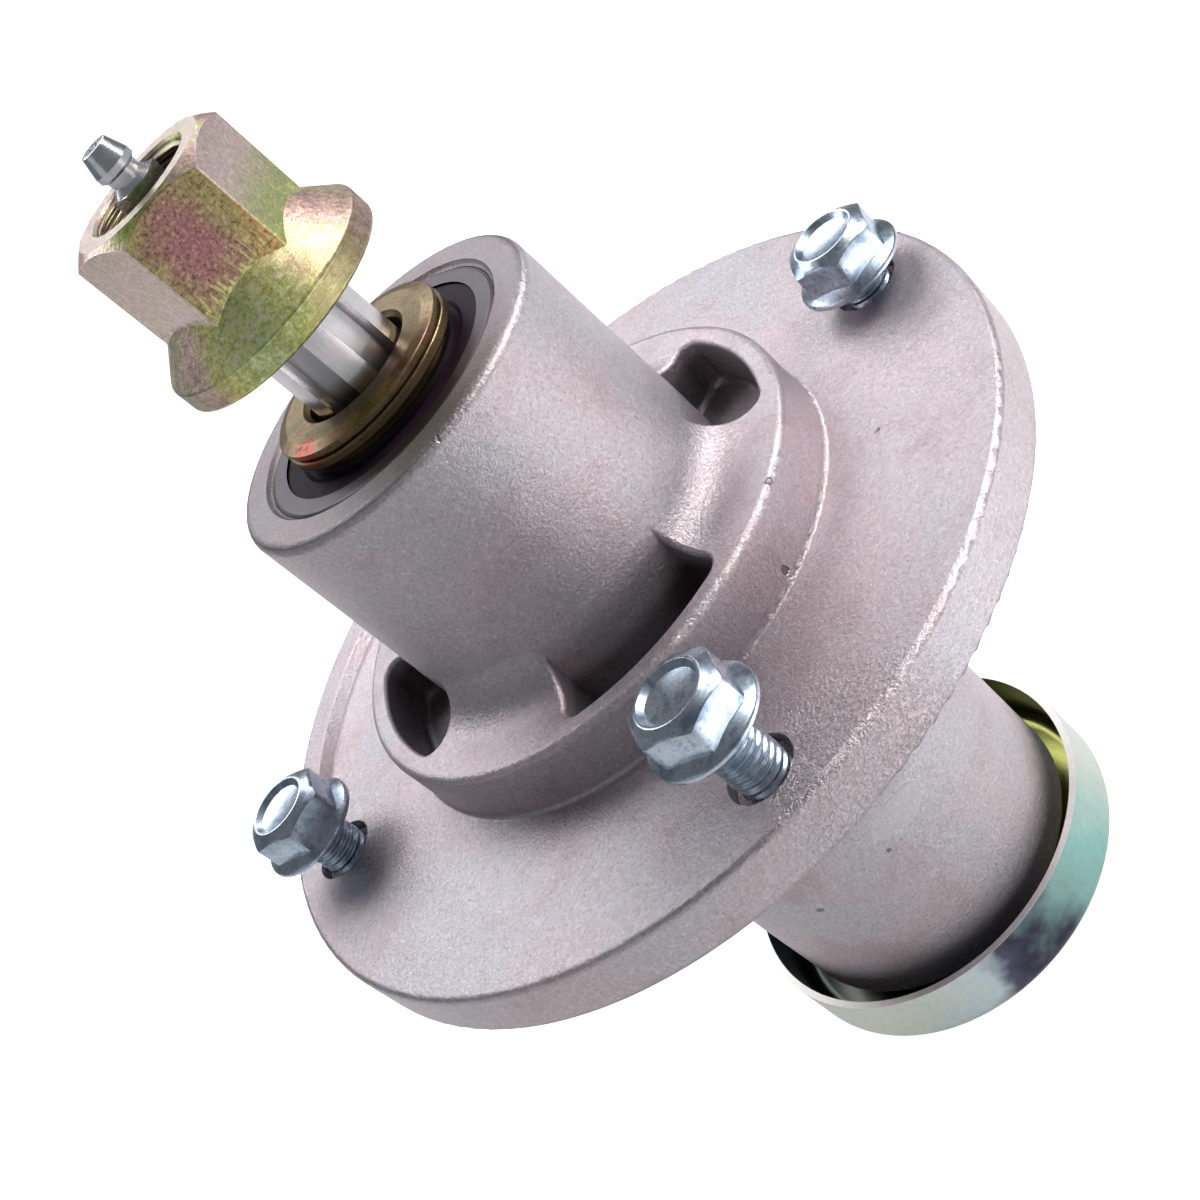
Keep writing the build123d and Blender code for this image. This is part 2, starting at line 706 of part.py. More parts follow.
def fitting_body():
    """The grease fitting's body: thread, hexagon, neck and head, bored through."""
    thread_r = FITTING_THREAD_D / 2
    hexagon_top = SHAFT_TOP + FITTING_HEX_H
    neck_r, head_r = FITTING_NECK_D / 2, FITTING_HEAD_D / 2
    shoulder_r = FITTING_FLATS / 2
    stem = turned(
        [
            (0, SHAFT_TOP - FITTING_THREAD_L),
            (thread_r, SHAFT_TOP - FITTING_THREAD_L),
            (thread_r, SHAFT_TOP),
            (shoulder_r, SHAFT_TOP),
            (shoulder_r, hexagon_top),
            (neck_r, FITTING_NECK_BASE),
            (neck_r, FITTING_HEAD_BASE),
            (head_r, FITTING_HEAD_BASE + FITTING_HEAD_BACK_H),
            (head_r, FITTING_HEAD_BASE + FITTING_BAND_H),
            (FITTING_TIP_D / 2, FITTING_TIP),
            (0, FITTING_TIP),
        ],
        [(9, FITTING_TIP_R)],
    )
    body = stem + hexagon(FITTING_FLATS, SHAFT_TOP, hexagon_top, NUT_TURN)
    chamber_r, bore_r = FITTING_CHAMBER_D / 2, FITTING_BORE_D / 2
    mouth_r = FITTING_MOUTH_D / 2
    passage = turned(
        [
            (0, SHAFT_TOP - FITTING_THREAD_L - 1),
            (bore_r, SHAFT_TOP - FITTING_THREAD_L - 1),
            (bore_r, CHAMBER_BASE),
            (chamber_r, CHAMBER_BASE),
            (chamber_r, CHAMBER_TOP - (chamber_r - mouth_r)),
            (mouth_r, CHAMBER_TOP),
            (mouth_r, FITTING_TIP + 1),
            (0, FITTING_TIP + 1),
        ]
    )
    return body - passage


def check_ball_height():
    """The height of the check ball's centre where it closes the fitting's mouth."""
    ball_r, mouth_r = CHECK_BALL_D / 2 + CHECK_BALL_FIT, FITTING_MOUTH_D / 2
    return CHAMBER_TOP - sqrt(ball_r**2 - mouth_r**2)


def fitting_ball():
    """The ball that closes the fitting's mouth."""
    return Pos(0, 0, check_ball_height()) * Sphere(CHECK_BALL_D / 2)


def fitting_spring():
    """The coil spring that holds the check ball on its seat."""
    wire_r = SPRING_WIRE_D / 2
    coil_r = SPRING_D / 2 - wire_r
    reach = sqrt((CHECK_BALL_D / 2 + wire_r) ** 2 - coil_r**2)
    low = CHAMBER_BASE + wire_r + SPRING_SEAT_FIT
    height = check_ball_height() - reach - SPRING_BALL_FIT - low
    path = Helix(height / SPRING_TURNS, height, coil_r, center=(0, 0, low))
    section = Plane(origin=path @ 0, z_dir=path % 0) * Circle(wire_r)
    return sweep(section, path=path, is_frenet=True)


def dust_cup():
    """The pressed cup round the lower tube's end. Its middle is raised to the
    lower inner ring, and its wall is open upwards."""
    rim_r, plateau_r = CUP_D / 2, CUP_PLATEAU_D / 2
    path = FilletPolyline(
        (SHAFT_D / 2 + CUP_BORE_FIT, CUP_PLATEAU_BASE),
        (plateau_r, CUP_PLATEAU_BASE),
        (CUP_PLATEAU_FOOT_D / 2, CUP_BASE),
        (rim_r, CUP_BASE),
        (rim_r, CUP_BASE + CUP_H),
        radius=[CUP_BEND_R, CUP_BEND_R + CUP_T, CUP_CORNER_R],
    )
    section = make_face(offset(path, amount=CUP_T, side=Side.LEFT))
    return revolve(Plane.XZ * section, Axis.Z)


def nodes():
    """Every piece of the spindle, by its name."""
    upper = UPPER_BEARING_BASE + BEARING_W / 2
    lower = LOWER_BEARING_BASE + BEARING_W / 2
    return {
        "housing": housing(),
        "deck_bolts": deck_bolts(),
        **bearing("upper_bearing", upper, 1),
        **bearing("lower_bearing", lower, -1),
        "bearing_spacer": bearing_spacer(),
        "spindle_shaft": spindle_shaft(),
        "top_washer": top_washer(),
        "top_nut": top_nut(),
        "grease_fitting_body": fitting_body(),
        "grease_fitting_ball": fitting_ball(),
        "grease_fitting_spring": fitting_spring(),
        "dust_cup": dust_cup(),
    }


os.makedirs("parts", exist_ok=True)
for node, shape in nodes().items():
    shape.label = node
    export_step(shape, "parts/" + node + ".step")
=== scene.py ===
# %% [markdown]
# # A mower deck spindle
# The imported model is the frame: every piece of it keeps its size and place. This
# script gives each piece its finish, cuts the threads that the solids leave plain,
# and sets up a camera, soft light and a pale floor.

# %% Load the frame
import math

import bmesh
import bpy
import numpy as np
from mathutils import Matrix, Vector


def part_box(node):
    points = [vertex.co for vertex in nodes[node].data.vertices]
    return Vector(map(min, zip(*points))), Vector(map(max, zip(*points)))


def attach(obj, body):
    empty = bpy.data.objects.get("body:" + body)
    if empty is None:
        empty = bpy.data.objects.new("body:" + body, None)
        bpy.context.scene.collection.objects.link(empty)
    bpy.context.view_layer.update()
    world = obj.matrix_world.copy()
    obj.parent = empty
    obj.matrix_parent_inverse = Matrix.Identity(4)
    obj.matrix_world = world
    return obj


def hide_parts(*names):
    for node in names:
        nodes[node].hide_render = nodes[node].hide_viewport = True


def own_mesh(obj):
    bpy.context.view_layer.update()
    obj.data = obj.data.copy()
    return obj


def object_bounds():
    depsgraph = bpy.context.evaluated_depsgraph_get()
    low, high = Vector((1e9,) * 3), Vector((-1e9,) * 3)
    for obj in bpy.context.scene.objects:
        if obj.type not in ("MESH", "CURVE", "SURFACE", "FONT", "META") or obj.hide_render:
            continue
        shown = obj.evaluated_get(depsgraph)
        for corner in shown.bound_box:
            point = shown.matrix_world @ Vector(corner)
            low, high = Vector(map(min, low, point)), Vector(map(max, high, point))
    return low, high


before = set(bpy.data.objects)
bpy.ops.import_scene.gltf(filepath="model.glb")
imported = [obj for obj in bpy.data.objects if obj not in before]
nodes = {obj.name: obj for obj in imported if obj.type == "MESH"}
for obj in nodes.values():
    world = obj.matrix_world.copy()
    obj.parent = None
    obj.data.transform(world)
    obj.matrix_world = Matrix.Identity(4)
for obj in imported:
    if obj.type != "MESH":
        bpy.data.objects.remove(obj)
cad_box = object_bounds()
MM = 0.001
print("nodes", len(nodes), "box", cad_box)


# %% [markdown]
# ## The camera
# The photograph looks down on the spindle by thirty degrees, from close by, and
# the camera is rolled far over, so that the shaft points to the upper left. A
# camera that starts level, is tipped down and then rolled gives that in two
# turns, and both angles stay readable.

# %% Camera
CAMERA_PLACE = (-3.56, -276.2, 170.85)
CAMERA_TIP = math.radians(59.66)
CAMERA_ROLL = math.radians(-50.30)
CAMERA_LENS = 52.9
CAMERA_SENSOR = 36.0


def place_camera():
    """The camera at the photograph's viewpoint."""
    data = bpy.data.cameras.new("camera")
    data.lens = CAMERA_LENS
    data.sensor_width = CAMERA_SENSOR
    data.sensor_fit = "HORIZONTAL"
    data.clip_start = 0.01
    camera = bpy.data.objects.new("camera", data)
    bpy.context.scene.collection.objects.link(camera)
    camera.rotation_mode = "XYZ"
    camera.rotation_euler = (CAMERA_TIP, 0, 0)
    bpy.context.view_layer.update()
    turn = camera.rotation_euler.to_matrix()
    roll = turn.Rotation(CAMERA_ROLL, 3, "Z")
    camera.rotation_euler = (turn @ roll).to_euler("XYZ")
    camera.location = [v * MM for v in CAMERA_PLACE]
    bpy.context.scene.camera = camera
    print("camera at", [round(v, 4) for v in camera.location])


place_camera()


# %% [markdown]
# ## Floor and world
# The photograph has a pure white ground and no shadow on it. A floor that glows
# is as white, but it would also flood the metal with light from below. So there
# are two sheets: one that only the camera sees, and a dimmer one that only the
# metal sees. The world adds an even, slightly cool light from everywhere.

# %% Floor and world
FLOOR_REACH = 9.0
FLOOR_WHITE = 1.0
FLOOR_BOUNCE = 0.24
WORLD_COLOUR = (0.80, 0.82, 0.86, 1)
WORLD_STRENGTH = 0.18


def floor_sheet(name, height, glow, for_camera):
    """A square sheet at a height, wider than any view, seen by the camera or by the
    metal alone."""
    r = FLOOR_REACH
    mesh = bpy.data.meshes.new(name)
    mesh.from_pydata([(-r, -r, height), (r, -r, height), (r, r, height), (-r, r, height)], [], [(0, 1, 2, 3)])
    sheet = bpy.data.objects.new(name, mesh)
    bpy.context.scene.collection.objects.link(sheet)
    paint = bpy.data.materials.new(name + "_paint")
    paint.use_nodes = True
    shader = paint.node_tree.nodes["Principled BSDF"]
    shader.inputs["Base Color"].default_value = (0.8, 0.8, 0.8, 1)
    shader.inputs["Roughness"].default_value = 0.9
    shader.inputs["Specular IOR Level"].default_value = 0.1
    shader.inputs["Emission Color"].default_value = (1, 1, 1, 1)
    shader.inputs["Emission Strength"].default_value = glow
    mesh.materials.append(paint)
    sheet.visible_camera = for_camera
    sheet.visible_diffuse = not for_camera
    sheet.visible_glossy = not for_camera
    sheet.visible_shadow = not for_camera


def pale_world():
    """An even, slightly cool surrounding."""
    world = bpy.data.worlds.new("world")
    world.use_nodes = True
    sky = world.node_tree.nodes["Background"]
    sky.inputs["Color"].default_value = WORLD_COLOUR
    sky.inputs["Strength"].default_value = WORLD_STRENGTH
    bpy.context.scene.world = world


floor_sheet("floor", cad_box[0][2], FLOOR_WHITE, True)
floor_sheet("floor_bounce", cad_box[0][2] - 0.5 * MM, FLOOR_BOUNCE, False)
pale_world()
print("floor at", round(cad_box[0][2], 4))

# %% [markdown]
# ## Lights
# Metal shows what stands around it, so its light comes from large soft panels. The
# strongest stands high on the right, because the picture is rolled over. A wide one
# behind lights every face that looks up, a low one brightens the tube's front, and
# weak ones open the shadows. The camera sees none of them.

# %% Lights
def soft_panel(name, direction, distance, size, watts, colour=(1, 1, 1), aim=(0, 0, 10)):
    """An area light that stands in a direction from the aim point, in millimetres."""
    z_axis = np.array(direction, float)
    z_axis /= np.linalg.norm(z_axis)
    x_axis = np.cross((0, 0, 1.0), z_axis)
    x_axis /= np.linalg.norm(x_axis)
    turn = Matrix(np.stack([x_axis, np.cross(z_axis, x_axis), z_axis], 1).tolist())
    data = bpy.data.lights.new(name, "AREA")
    data.shape = "RECTANGLE"
    data.size, data.size_y = size[0] * MM, size[1] * MM
    data.energy = watts
    data.color = colour
    lamp = bpy.data.objects.new(name, data)
    bpy.context.scene.collection.objects.link(lamp)
    lamp.location = ((np.array(aim, float) + z_axis * distance) * MM).tolist()
    lamp.rotation_euler = turn.to_euler("XYZ")
    lamp.visible_camera = False


soft_panel("key", (0.74, -0.05, 0.67), 620, (300, 300), 3.3, (1, 0.985, 0.97))
soft_panel("back", (-0.02, 0.74, 0.68), 800, (800, 400), 3.6, (0.98, 0.985, 1))
soft_panel("left", (-0.85, -0.2, 0.35), 800, (500, 500), 0.2, (0.95, 0.97, 1))
soft_panel("front", (0.55, -0.8, 0.12), 900, (400, 400), 0.3, (0.97, 0.98, 1))
soft_panel("low", (0.60, -0.70, -0.27), 330, (300, 100), 0.28, (0.98, 0.985, 1))
bpy.context.scene.view_settings.view_transform = "Standard"
bpy.context.scene.view_settings.look = "None"


# %% [markdown]
# ## Shader arithmetic
# A finish is easier to read as an expression than as a net of nodes. A small
# class stands for one socket, and its operators add the Math nodes. One method
# adds every other kind of node.

# %% The socket class
class Wire:
    """A socket of a node tree. With no socket it stands for the tree itself."""

    def __init__(self, tree, socket=None):
        self.tree = tree
        self.socket = socket

    def add(self, kind, settings=None, sockets=None, output=0):
        """Adds a node of a type: its settings first, then its sockets' values or
        links. Gives the wire of one output."""
        node = self.tree.nodes.new(kind)
        for key, value in (settings or {}).items():
            if key == "stops":
                self._stops(node.color_ramp, value)
            else:
                setattr(node, key, value)
        for key, value in (sockets or {}).items():
            if isinstance(value, Wire):
                self.tree.links.new(value.socket, node.inputs[key])
            else:
                node.inputs[key].default_value = value
        return Wire(self.tree, node.outputs[output])

    @staticmethod
    def _stops(ramp, stops):
        while len(ramp.elements) < len(stops):
            ramp.elements.new(1.0)
        for element, (place, colour) in zip(ramp.elements, stops):
            element.position = place
            element.color = (*colour, 1) if len(colour) == 3 else colour

    def _math(self, operation, first, second):
        return self.add("ShaderNodeMath", {"operation": operation}, {0: first, 1: second})

    def __add__(self, other):
        return self._math("ADD", self, other)

    def __radd__(self, other):
        return self._math("ADD", other, self)

    def __sub__(self, other):
        return self._math("SUBTRACT", self, other)

    def __rsub__(self, other):
        return self._math("SUBTRACT", other, self)

    def __mul__(self, other):
        return self._math("MULTIPLY", self, other)

    def __rmul__(self, other):
        return self._math("MULTIPLY", other, self)

    def __truediv__(self, other):
        return self._math("DIVIDE", self, other)

    def __pow__(self, other):
        return self._math("POWER", self, other)


# %% [markdown]
# The patterns below all work in millimetres on Object coordinates, which on
# every piece are the spindle's own frame. A scratch, a ring or a stain therefore
# sits on the metal and turns with it.

# %% Places and directions
def start(name):
    """A new material, its tree, and the place of the surface point in millimetres."""
    material = bpy.data.materials.new(name)
    material.use_nodes = True
    material.node_tree.nodes.clear()
    tree = Wire(material.node_tree)
    point = tree.add("ShaderNodeTexCoord", output="Object")
    place = tree.add("ShaderNodeVectorMath", {"operation": "SCALE"}, {0: point, "Scale": 1 / MM})
    return material, tree, place


def parts_of(place):
    """The three coordinates of a place."""
    return [place.add("ShaderNodeSeparateXYZ", sockets={0: place}, output=i) for i in range(3)]


def radius_of(x, y):
    """The distance from the spindle's axis."""
    return (x * x + y * y) ** 0.5


def angle_of(x, y):
    """The direction round the axis, in turns from -0.5 to 0.5."""
    return x.add("ShaderNodeMath", {"operation": "ARCTAN2"}, {0: y, 1: x}) / (2 * math.pi)


def vector(x, y, z):
    """Three numbers or wires as one vector."""
    tree = next(w for w in (x, y, z) if isinstance(w, Wire))
    return tree.add("ShaderNodeCombineXYZ", sockets={0: x, 1: y, 2: z})


print("patterns are measured in steps of", MM, "m")

# %% [markdown]
# Most patterns are a soft noise, cut by a soft step into a mask that runs from 0 to
# 1. Masks multiply, and a mask chooses between two colours. A distance from a spot
# gives a round mask, for single marks.

# %% Noise, masks and colours
def noise(place, per_mm, detail=2.0, rough=0.5, twist=0.0):
    """Soft noise from about 0.2 to 0.8, with so many features in a millimetre."""
    values = {"Vector": place, "Scale": per_mm, "Detail": detail, "Roughness": rough, "Distortion": twist}
    return place.add("ShaderNodeTexNoise", sockets=values, output="Fac")


def step(value, low, high):
    """0 below low and 1 above high, with a soft ramp between."""
    ends = {"Value": value, "From Min": low, "From Max": high}
    return value.add("ShaderNodeMapRange", {"interpolation_type": "SMOOTHSTEP"}, ends)


def mix(factor, first, second):
    """One colour over another."""
    socket = {0: factor, 6: first, 7: second}
    return factor.add("ShaderNodeMix", {"data_type": "RGBA"}, socket, output=2)


def mix_value(factor, first, second):
    """One value over another."""
    return first + factor * (second - first)


def shade(colour, factor):
    """A colour made lighter or darker by a number or a wire."""
    tree = colour if isinstance(colour, Wire) else factor
    return tree.add("ShaderNodeVectorMath", {"operation": "SCALE"}, {0: colour, "Scale": factor})


def near(place, spot, reach, soft):
    """1 within reach of a spot in millimetres, 0 beyond reach and soft."""
    gap = place.add("ShaderNodeVectorMath", {"operation": "DISTANCE"}, {0: place, 1: spot}, output="Value")
    return 1 - step(gap, reach, reach + soft)


# %% [markdown]
# A finish ends in one shader. Small hollows and ridges only lean the light, so a
# bump stands for them, and its height is given in millimetres.

# %% Bumps and the shader
def bump(height, rise_mm, under=None):
    """A bump whose height of 1 is so many millimetres, over another bump."""
    values = {"Height": height, "Distance": rise_mm * MM, "Strength": 1.0}
    if under is not None:
        values["Normal"] = under
    return height.add("ShaderNodeBump", sockets=values)


def finish(tree, colour, roughness, metallic=1.0, normal=None, fixed=None):
    """The shader of a finish, joined to the material's output."""
    values = {"Base Color": colour, "Roughness": roughness, "Metallic": metallic}
    if normal is not None:
        values["Normal"] = normal
    values.update(fixed or {})
    shader = tree.add("ShaderNodeBsdfPrincipled", sockets=values)
    output = tree.tree.nodes.new("ShaderNodeOutputMaterial")
    tree.tree.links.new(shader.socket, output.inputs["Surface"])


def dress(material, *names):
    """Puts a material on CAD nodes."""
    for name in names:
        for slot in nodes[name].material_slots:
            slot.material = material
    print(material.name, "on", ", ".join(names))


# %% [markdown]
# ## The cast housing
# Aluminium poured into a sand mould and blasted clean has a fine, sparkling
# grain: every half millimetre a facet leans another way and catches the light or
# misses it. A cell pattern gives each grain its own brightness, a noise of the
# same size tilts the surface, and slow noises make the warm and cool clouds.

# %% The casting's grain
CAST_WARM = (0.62, 0.535, 0.56, 1)
CAST_COOL = (0.585, 0.55, 0.595, 1)
CAST_DULL = (0.46, 0.395, 0.42, 1)
GRAINS_PER_MM = 2.6


def cells(place, per_mm):
    """One random value from 0 to 1 for every cell, with so many cells in a millimetre."""
    colour = place.add("ShaderNodeTexVoronoi", sockets={"Vector": place, "Scale": per_mm}, output="Color")
    return colour.add("ShaderNodeSeparateColor", sockets={0: colour}, output=0)


def grain_of(place):
    """The brightness of the sand grain, about 1, and its height, from 0 to 1."""
    cell = cells(place, GRAINS_PER_MM)
    soft = noise(place, 1.5, 3.0, 0.75)
    sparkle = step(cell, 0.80, 1.0)
    pit = 1 - step(cell, 0.0, 0.14)
    return 0.56 + 0.82 * soft + 0.16 * sparkle - 0.15 * pit, 0.78 * soft + 0.20 * cell - 0.10 * pit


print("grain of the casting, mm:", round(1 / GRAINS_PER_MM, 2))

# %% [markdown]
# ## Marks on the casting
# The real casting has small nicks on its boss, a chip on the tube's edge, and a
# smooth oval where something rubbed the lower tube. Each is a spot in space: the
# distance from it, made uneven by noise, is a mask, and the mask darkens and
# hollows the metal.

# %% Marks
NICKS = (
    ((28.4, -40.0, 22.9), 0.7),
    ((18.8, -45.3, 13.1), 0.6),
    ((46.6, -36.8, 11.0), 0.3),
    ((-21.9, -25.8, -55.4), 0.5),
    ((-0.4, -32.9, 68.0), 0.7),
    ((-5.1, -33.5, -52.0), 0.2),
)
OVAL_SPOT = (1.6, -34.0, -47.5)
OVAL_STRETCH = (0.56, 1.0, 1.0)
OVAL_REACH = 3.8
SCORED_SPOTS = ((3.0, -82.4, 3.0), (6.0, -33.0, -36.0))
POCKET_FLOOR = 12.0
POCKET_MOUTH = 22.4
POCKET_REACH = 44.6


def nicks_of(place):
    """1 inside a nick and 0 outside, the outline ragged."""
    shift = shade(vector(noise(place, 1.1), noise(place, 1.4), noise(place, 0.9)), 1.1)
    ragged = place.add("ShaderNodeVectorMath", {"operation": "ADD"}, {0: place, 1: shift})
    total = 0.0
    for spot, reach in NICKS:
        total = total + near(ragged, tuple(v + 0.5 for v in spot), reach, 0.35)
    return total


def oval_of(place):
    """1 on the rubbed oval, and on the thin line at its edge, which the finish paints lighter as a painted
    highlight of a raised ridge.
    """
    flat = place.add("ShaderNodeVectorMath", {"operation": "MULTIPLY"}, {0: place, 1: OVAL_STRETCH})
    centre = tuple(a * b for a, b in zip(OVAL_SPOT, OVAL_STRETCH))
    gap = flat.add("ShaderNodeVectorMath", {"operation": "DISTANCE"}, {0: flat, 1: centre}, output="Value")
    inside = 1 - step(gap, OVAL_REACH - 0.5, OVAL_REACH)
    oval_edge_highlight = step(gap, OVAL_REACH - 0.5, OVAL_REACH - 0.1) * (1 - step(gap, OVAL_REACH, OVAL_REACH + 0.3))
    return inside, oval_edge_highlight


print("marks on the casting:", len(NICKS) + 2)

# %% [markdown]
# ## Painted shade and wear by place
# Some changes follow the casting's shape. The pockets, the corner at the tube's foot, the machined land at
# the top and the flange's lower edge are painted darker, as painted shade. The flange's upper edge is rubbed,
# and it also gets a painted highlight. Each is a mask of the radius and the height, so a size that stands in
# the model decides where it ends.

# %% Places on the casting
FLANGE_EDGE_RADIUS = 82.5
BOSS_EDGE_RADIUS = 49.0
# The centre of the painted shade at the tube's foot, above the front pocket.
TUBE_FOOT_SHADE_SPOT = (20.0, -30.0, 22.0)
FLANGE_TOP = 11.0
LAND_HEIGHT = 67.6


def shade_of(place, z, radius):
    """Painted shade: how much light each place keeps, less in the pockets, at the foot of the
    tube, on the land and along the flange's lower edge."""
    # Painted shade in the pockets.
    pocket_shade = step(z, POCKET_FLOOR - 1, POCKET_FLOOR) * (1 - step(z, POCKET_MOUTH - 4, POCKET_MOUTH))
    pocket_shade = pocket_shade * (1 - step(radius, POCKET_REACH, POCKET_REACH + 0.3))
    on_boss = 1 - step(radius, BOSS_EDGE_RADIUS - 3, BOSS_EDGE_RADIUS - 1)
    # Painted shade at the tube's foot on the boss.
    tube_foot_shade = near(place, TUBE_FOOT_SHADE_SPOT, 5.0, 8.0) * on_boss
    # Painted shade on the land at the tube's top.
    land = step(z, LAND_HEIGHT - 0.3, LAND_HEIGHT)
    # Painted shade along the flange's lower edge.
    foot = step(radius, FLANGE_EDGE_RADIUS - 2, FLANGE_EDGE_RADIUS - 1) * (1 - step(z, 0.6, 1.6))
    return (1 - 0.60 * pocket_shade) * (1 - 0.25 * tube_foot_shade) * (1 - 0.45 * land) * (1 - 0.30 * foot)


def worn_edge_and_highlight(place, z, radius):
    """1 where the flange's upper edge is rubbed, in patches. The mask smooths the edge and also paints a
    highlight on it.
    """
    near_edge = step(radius, FLANGE_EDGE_RADIUS - 1.2, FLANGE_EDGE_RADIUS - 0.5)
    rim = near_edge * step(z, FLANGE_TOP - 1.2, FLANGE_TOP - 0.4)
    return rim * step(noise(place, 0.9, 4.0, 0.7), 0.30, 0.60)


def scored_patch(place):
    """1 in the scored patch on the flange's side and the tube below it."""
    scored = near(place, SCORED_SPOTS[0], 9.0, 14.0) + near(place, SCORED_SPOTS[1], 3.0, 8.0)
    return scored * step(noise(place, 0.9, 3.0, 0.75), 0.44, 0.58)


print("pockets from", POCKET_FLOOR, "to", POCKET_MOUTH, "mm, land at", LAND_HEIGHT)

# %% The casting's finish
def cast_aluminium():
    """Grain over clouds of warm and cool grey, with the marks, a worn rim, painted highlights on the rim and
    on the oval's edge, and painted shade by place.
    """
    material, tree, place = start("cast_aluminium")
    x, y, z = parts_of(place)
    radius = radius_of(x, y)
    warm = step(noise(place, 0.045, 3.0, 0.6), 0.35, 0.62)
    dull = step(noise(place, 0.09, 4.0, 0.65), 0.50, 0.78)
    light, height = grain_of(place)
    colour = mix(warm, CAST_COOL, CAST_WARM)
    colour = mix(0.75 * dull, colour, CAST_DULL)
    nicks = nicks_of(place)
    inside, oval_edge_highlight = oval_of(place)
    scored = scored_patch(place)
    worn_and_highlight = worn_edge_and_highlight(place, z, radius)
    light = light * (1 - 0.5 * nicks) * shade_of(place, z, radius)
    # Painted highlights: the line at the oval's edge and the rubbed flange edge are painted lighter.
    light = light + 0.10 * oval_edge_highlight + 0.04 * worn_and_highlight + 0.12 * scored
    colour = shade(colour, mix_value(0.4 * inside, light, 1.02))
    rough = 0.40 - 0.04 * worn_and_highlight - 0.04 * inside + 0.10 * (height - 0.4)
    waves = bump(noise(place, 0.09, 2.0, 0.5), 0.20)
    normal = bump(height * (1 - 0.75 * inside) + 0.6 * scored, 0.28, waves)
    normal = bump(1 - nicks, 0.35, normal)
    finish(tree, colour, rough, 0.88, normal)
    return material


dress(cast_aluminium(), "housing")


# %% [markdown]
# ## Turned and ground steel
# A lathe leaves rings and a grinding wheel leaves fine lines. Both are noises
# that are long in one direction, so the place is squeezed before it reaches the
# noise: only the radius and the height count for rings, only the angle for the
# flanks of the splines.

# %% Bearing rings, balls and cages
# The rings' steel is painted far darker than bare steel, a painted shade down in the tube's mouth.
RING_STEEL_SHADED = (0.115, 0.10, 0.115, 1)
BALL_STEEL = (0.78, 0.78, 0.80, 1)
CAGE_STEEL = (0.52, 0.51, 0.50, 1)
SPACER_STEEL = (0.48, 0.47, 0.48, 1)
OIL_FILM = (0.10, 0.08, 0.085, 1)


def turned_steel(name, colour, rough, per_mm, depth, oil=0.0):
    """Steel with turning rings. oil is how much dark film lies on it."""
    material, tree, place = start(name)
    x, y, z = parts_of(place)
    rings = noise(vector(radius_of(x, y), z, 0.0), per_mm, 3.0, 0.6)
    cloud = noise(place, 0.25, 3.0, 0.6)
    film = step(cloud, 0.42, 0.62) * oil
    paint = shade(mix(film, colour, OIL_FILM), 0.86 + 0.28 * rings)
    finish(tree, paint, rough + 0.10 * cloud, 1.0, bump(rings, depth))
    return material


dress(turned_steel("bearing_steel", RING_STEEL_SHADED, 0.40, 5.0, 0.008, 0.15),
      "upper_bearing_outer_ring", "lower_bearing_outer_ring",
      "upper_bearing_inner_ring", "lower_bearing_inner_ring")
dress(turned_steel("ball_steel", BALL_STEEL, 0.10, 0.6, 0.0),
      "upper_bearing_balls", "lower_bearing_balls", "grease_fitting_ball")
SPRING_FINISH = turned_steel("cage_steel", CAGE_STEEL, 0.32, 1.5, 0.01, 0.2)
dress(SPRING_FINISH, "upper_bearing_cage", "lower_bearing_cage", "grease_fitting_spring")
dress(turned_steel("spacer_steel", SPACER_STEEL, 0.38, 1.2, 0.02, 0.5), "bearing_spacer")

# %% [markdown]
# ## The seals
# A bearing's seal is a ring of black rubber with fine moulded rings. Old rubber has
# a purple bloom and holds dust. It is no metal and reflects very little, so it
# gets a low specular level of its own.

# %% The seals
SEAL_BLACK = (0.018, 0.008, 0.016, 1)
SEAL_DUST = (0.035, 0.020, 0.028, 1)


def seal_rubber():
    """Moulded rubber with fine rings, a purple bloom and a little dust."""
    material, tree, place = start("seal_rubber")
    x, y, z = parts_of(place)
    rings = noise(vector(radius_of(x, y), 0.0, 0.0), 1.6, 2.0, 0.5)
    dust = step(noise(place, 0.9, 4.0, 0.7), 0.52, 0.75)
    finish(tree, mix(0.6 * dust, SEAL_BLACK, SEAL_DUST), 0.50 + 0.25 * dust, 0.0, bump(rings, 0.03),
           {"Specular IOR Level": 0.08})
    return material


dress(seal_rubber(), "upper_bearing_seal", "lower_bearing_seal")

# %% [markdown]
# ## The shaft
# The shaft is turned, so it carries rings, but its splines were cut along the axis
# and carry lines. Two noises give the two, and a mask over the height picks one.
# The grooves between the teeth are darker, a painted shade, and so is the shaft's end face inside the nut.

# %% The shaft
SHAFT_PINK = (0.80, 0.74, 0.76, 1)
SHAFT_GREY = (0.66, 0.66, 0.68, 1)
SHAFT_END = 111.6
SPLINE_ROOT_R = 8.3
SPLINE_CREST_R = 10.0
SPLINE_LOW = 67.2
SPLINE_HIGH = 88.2


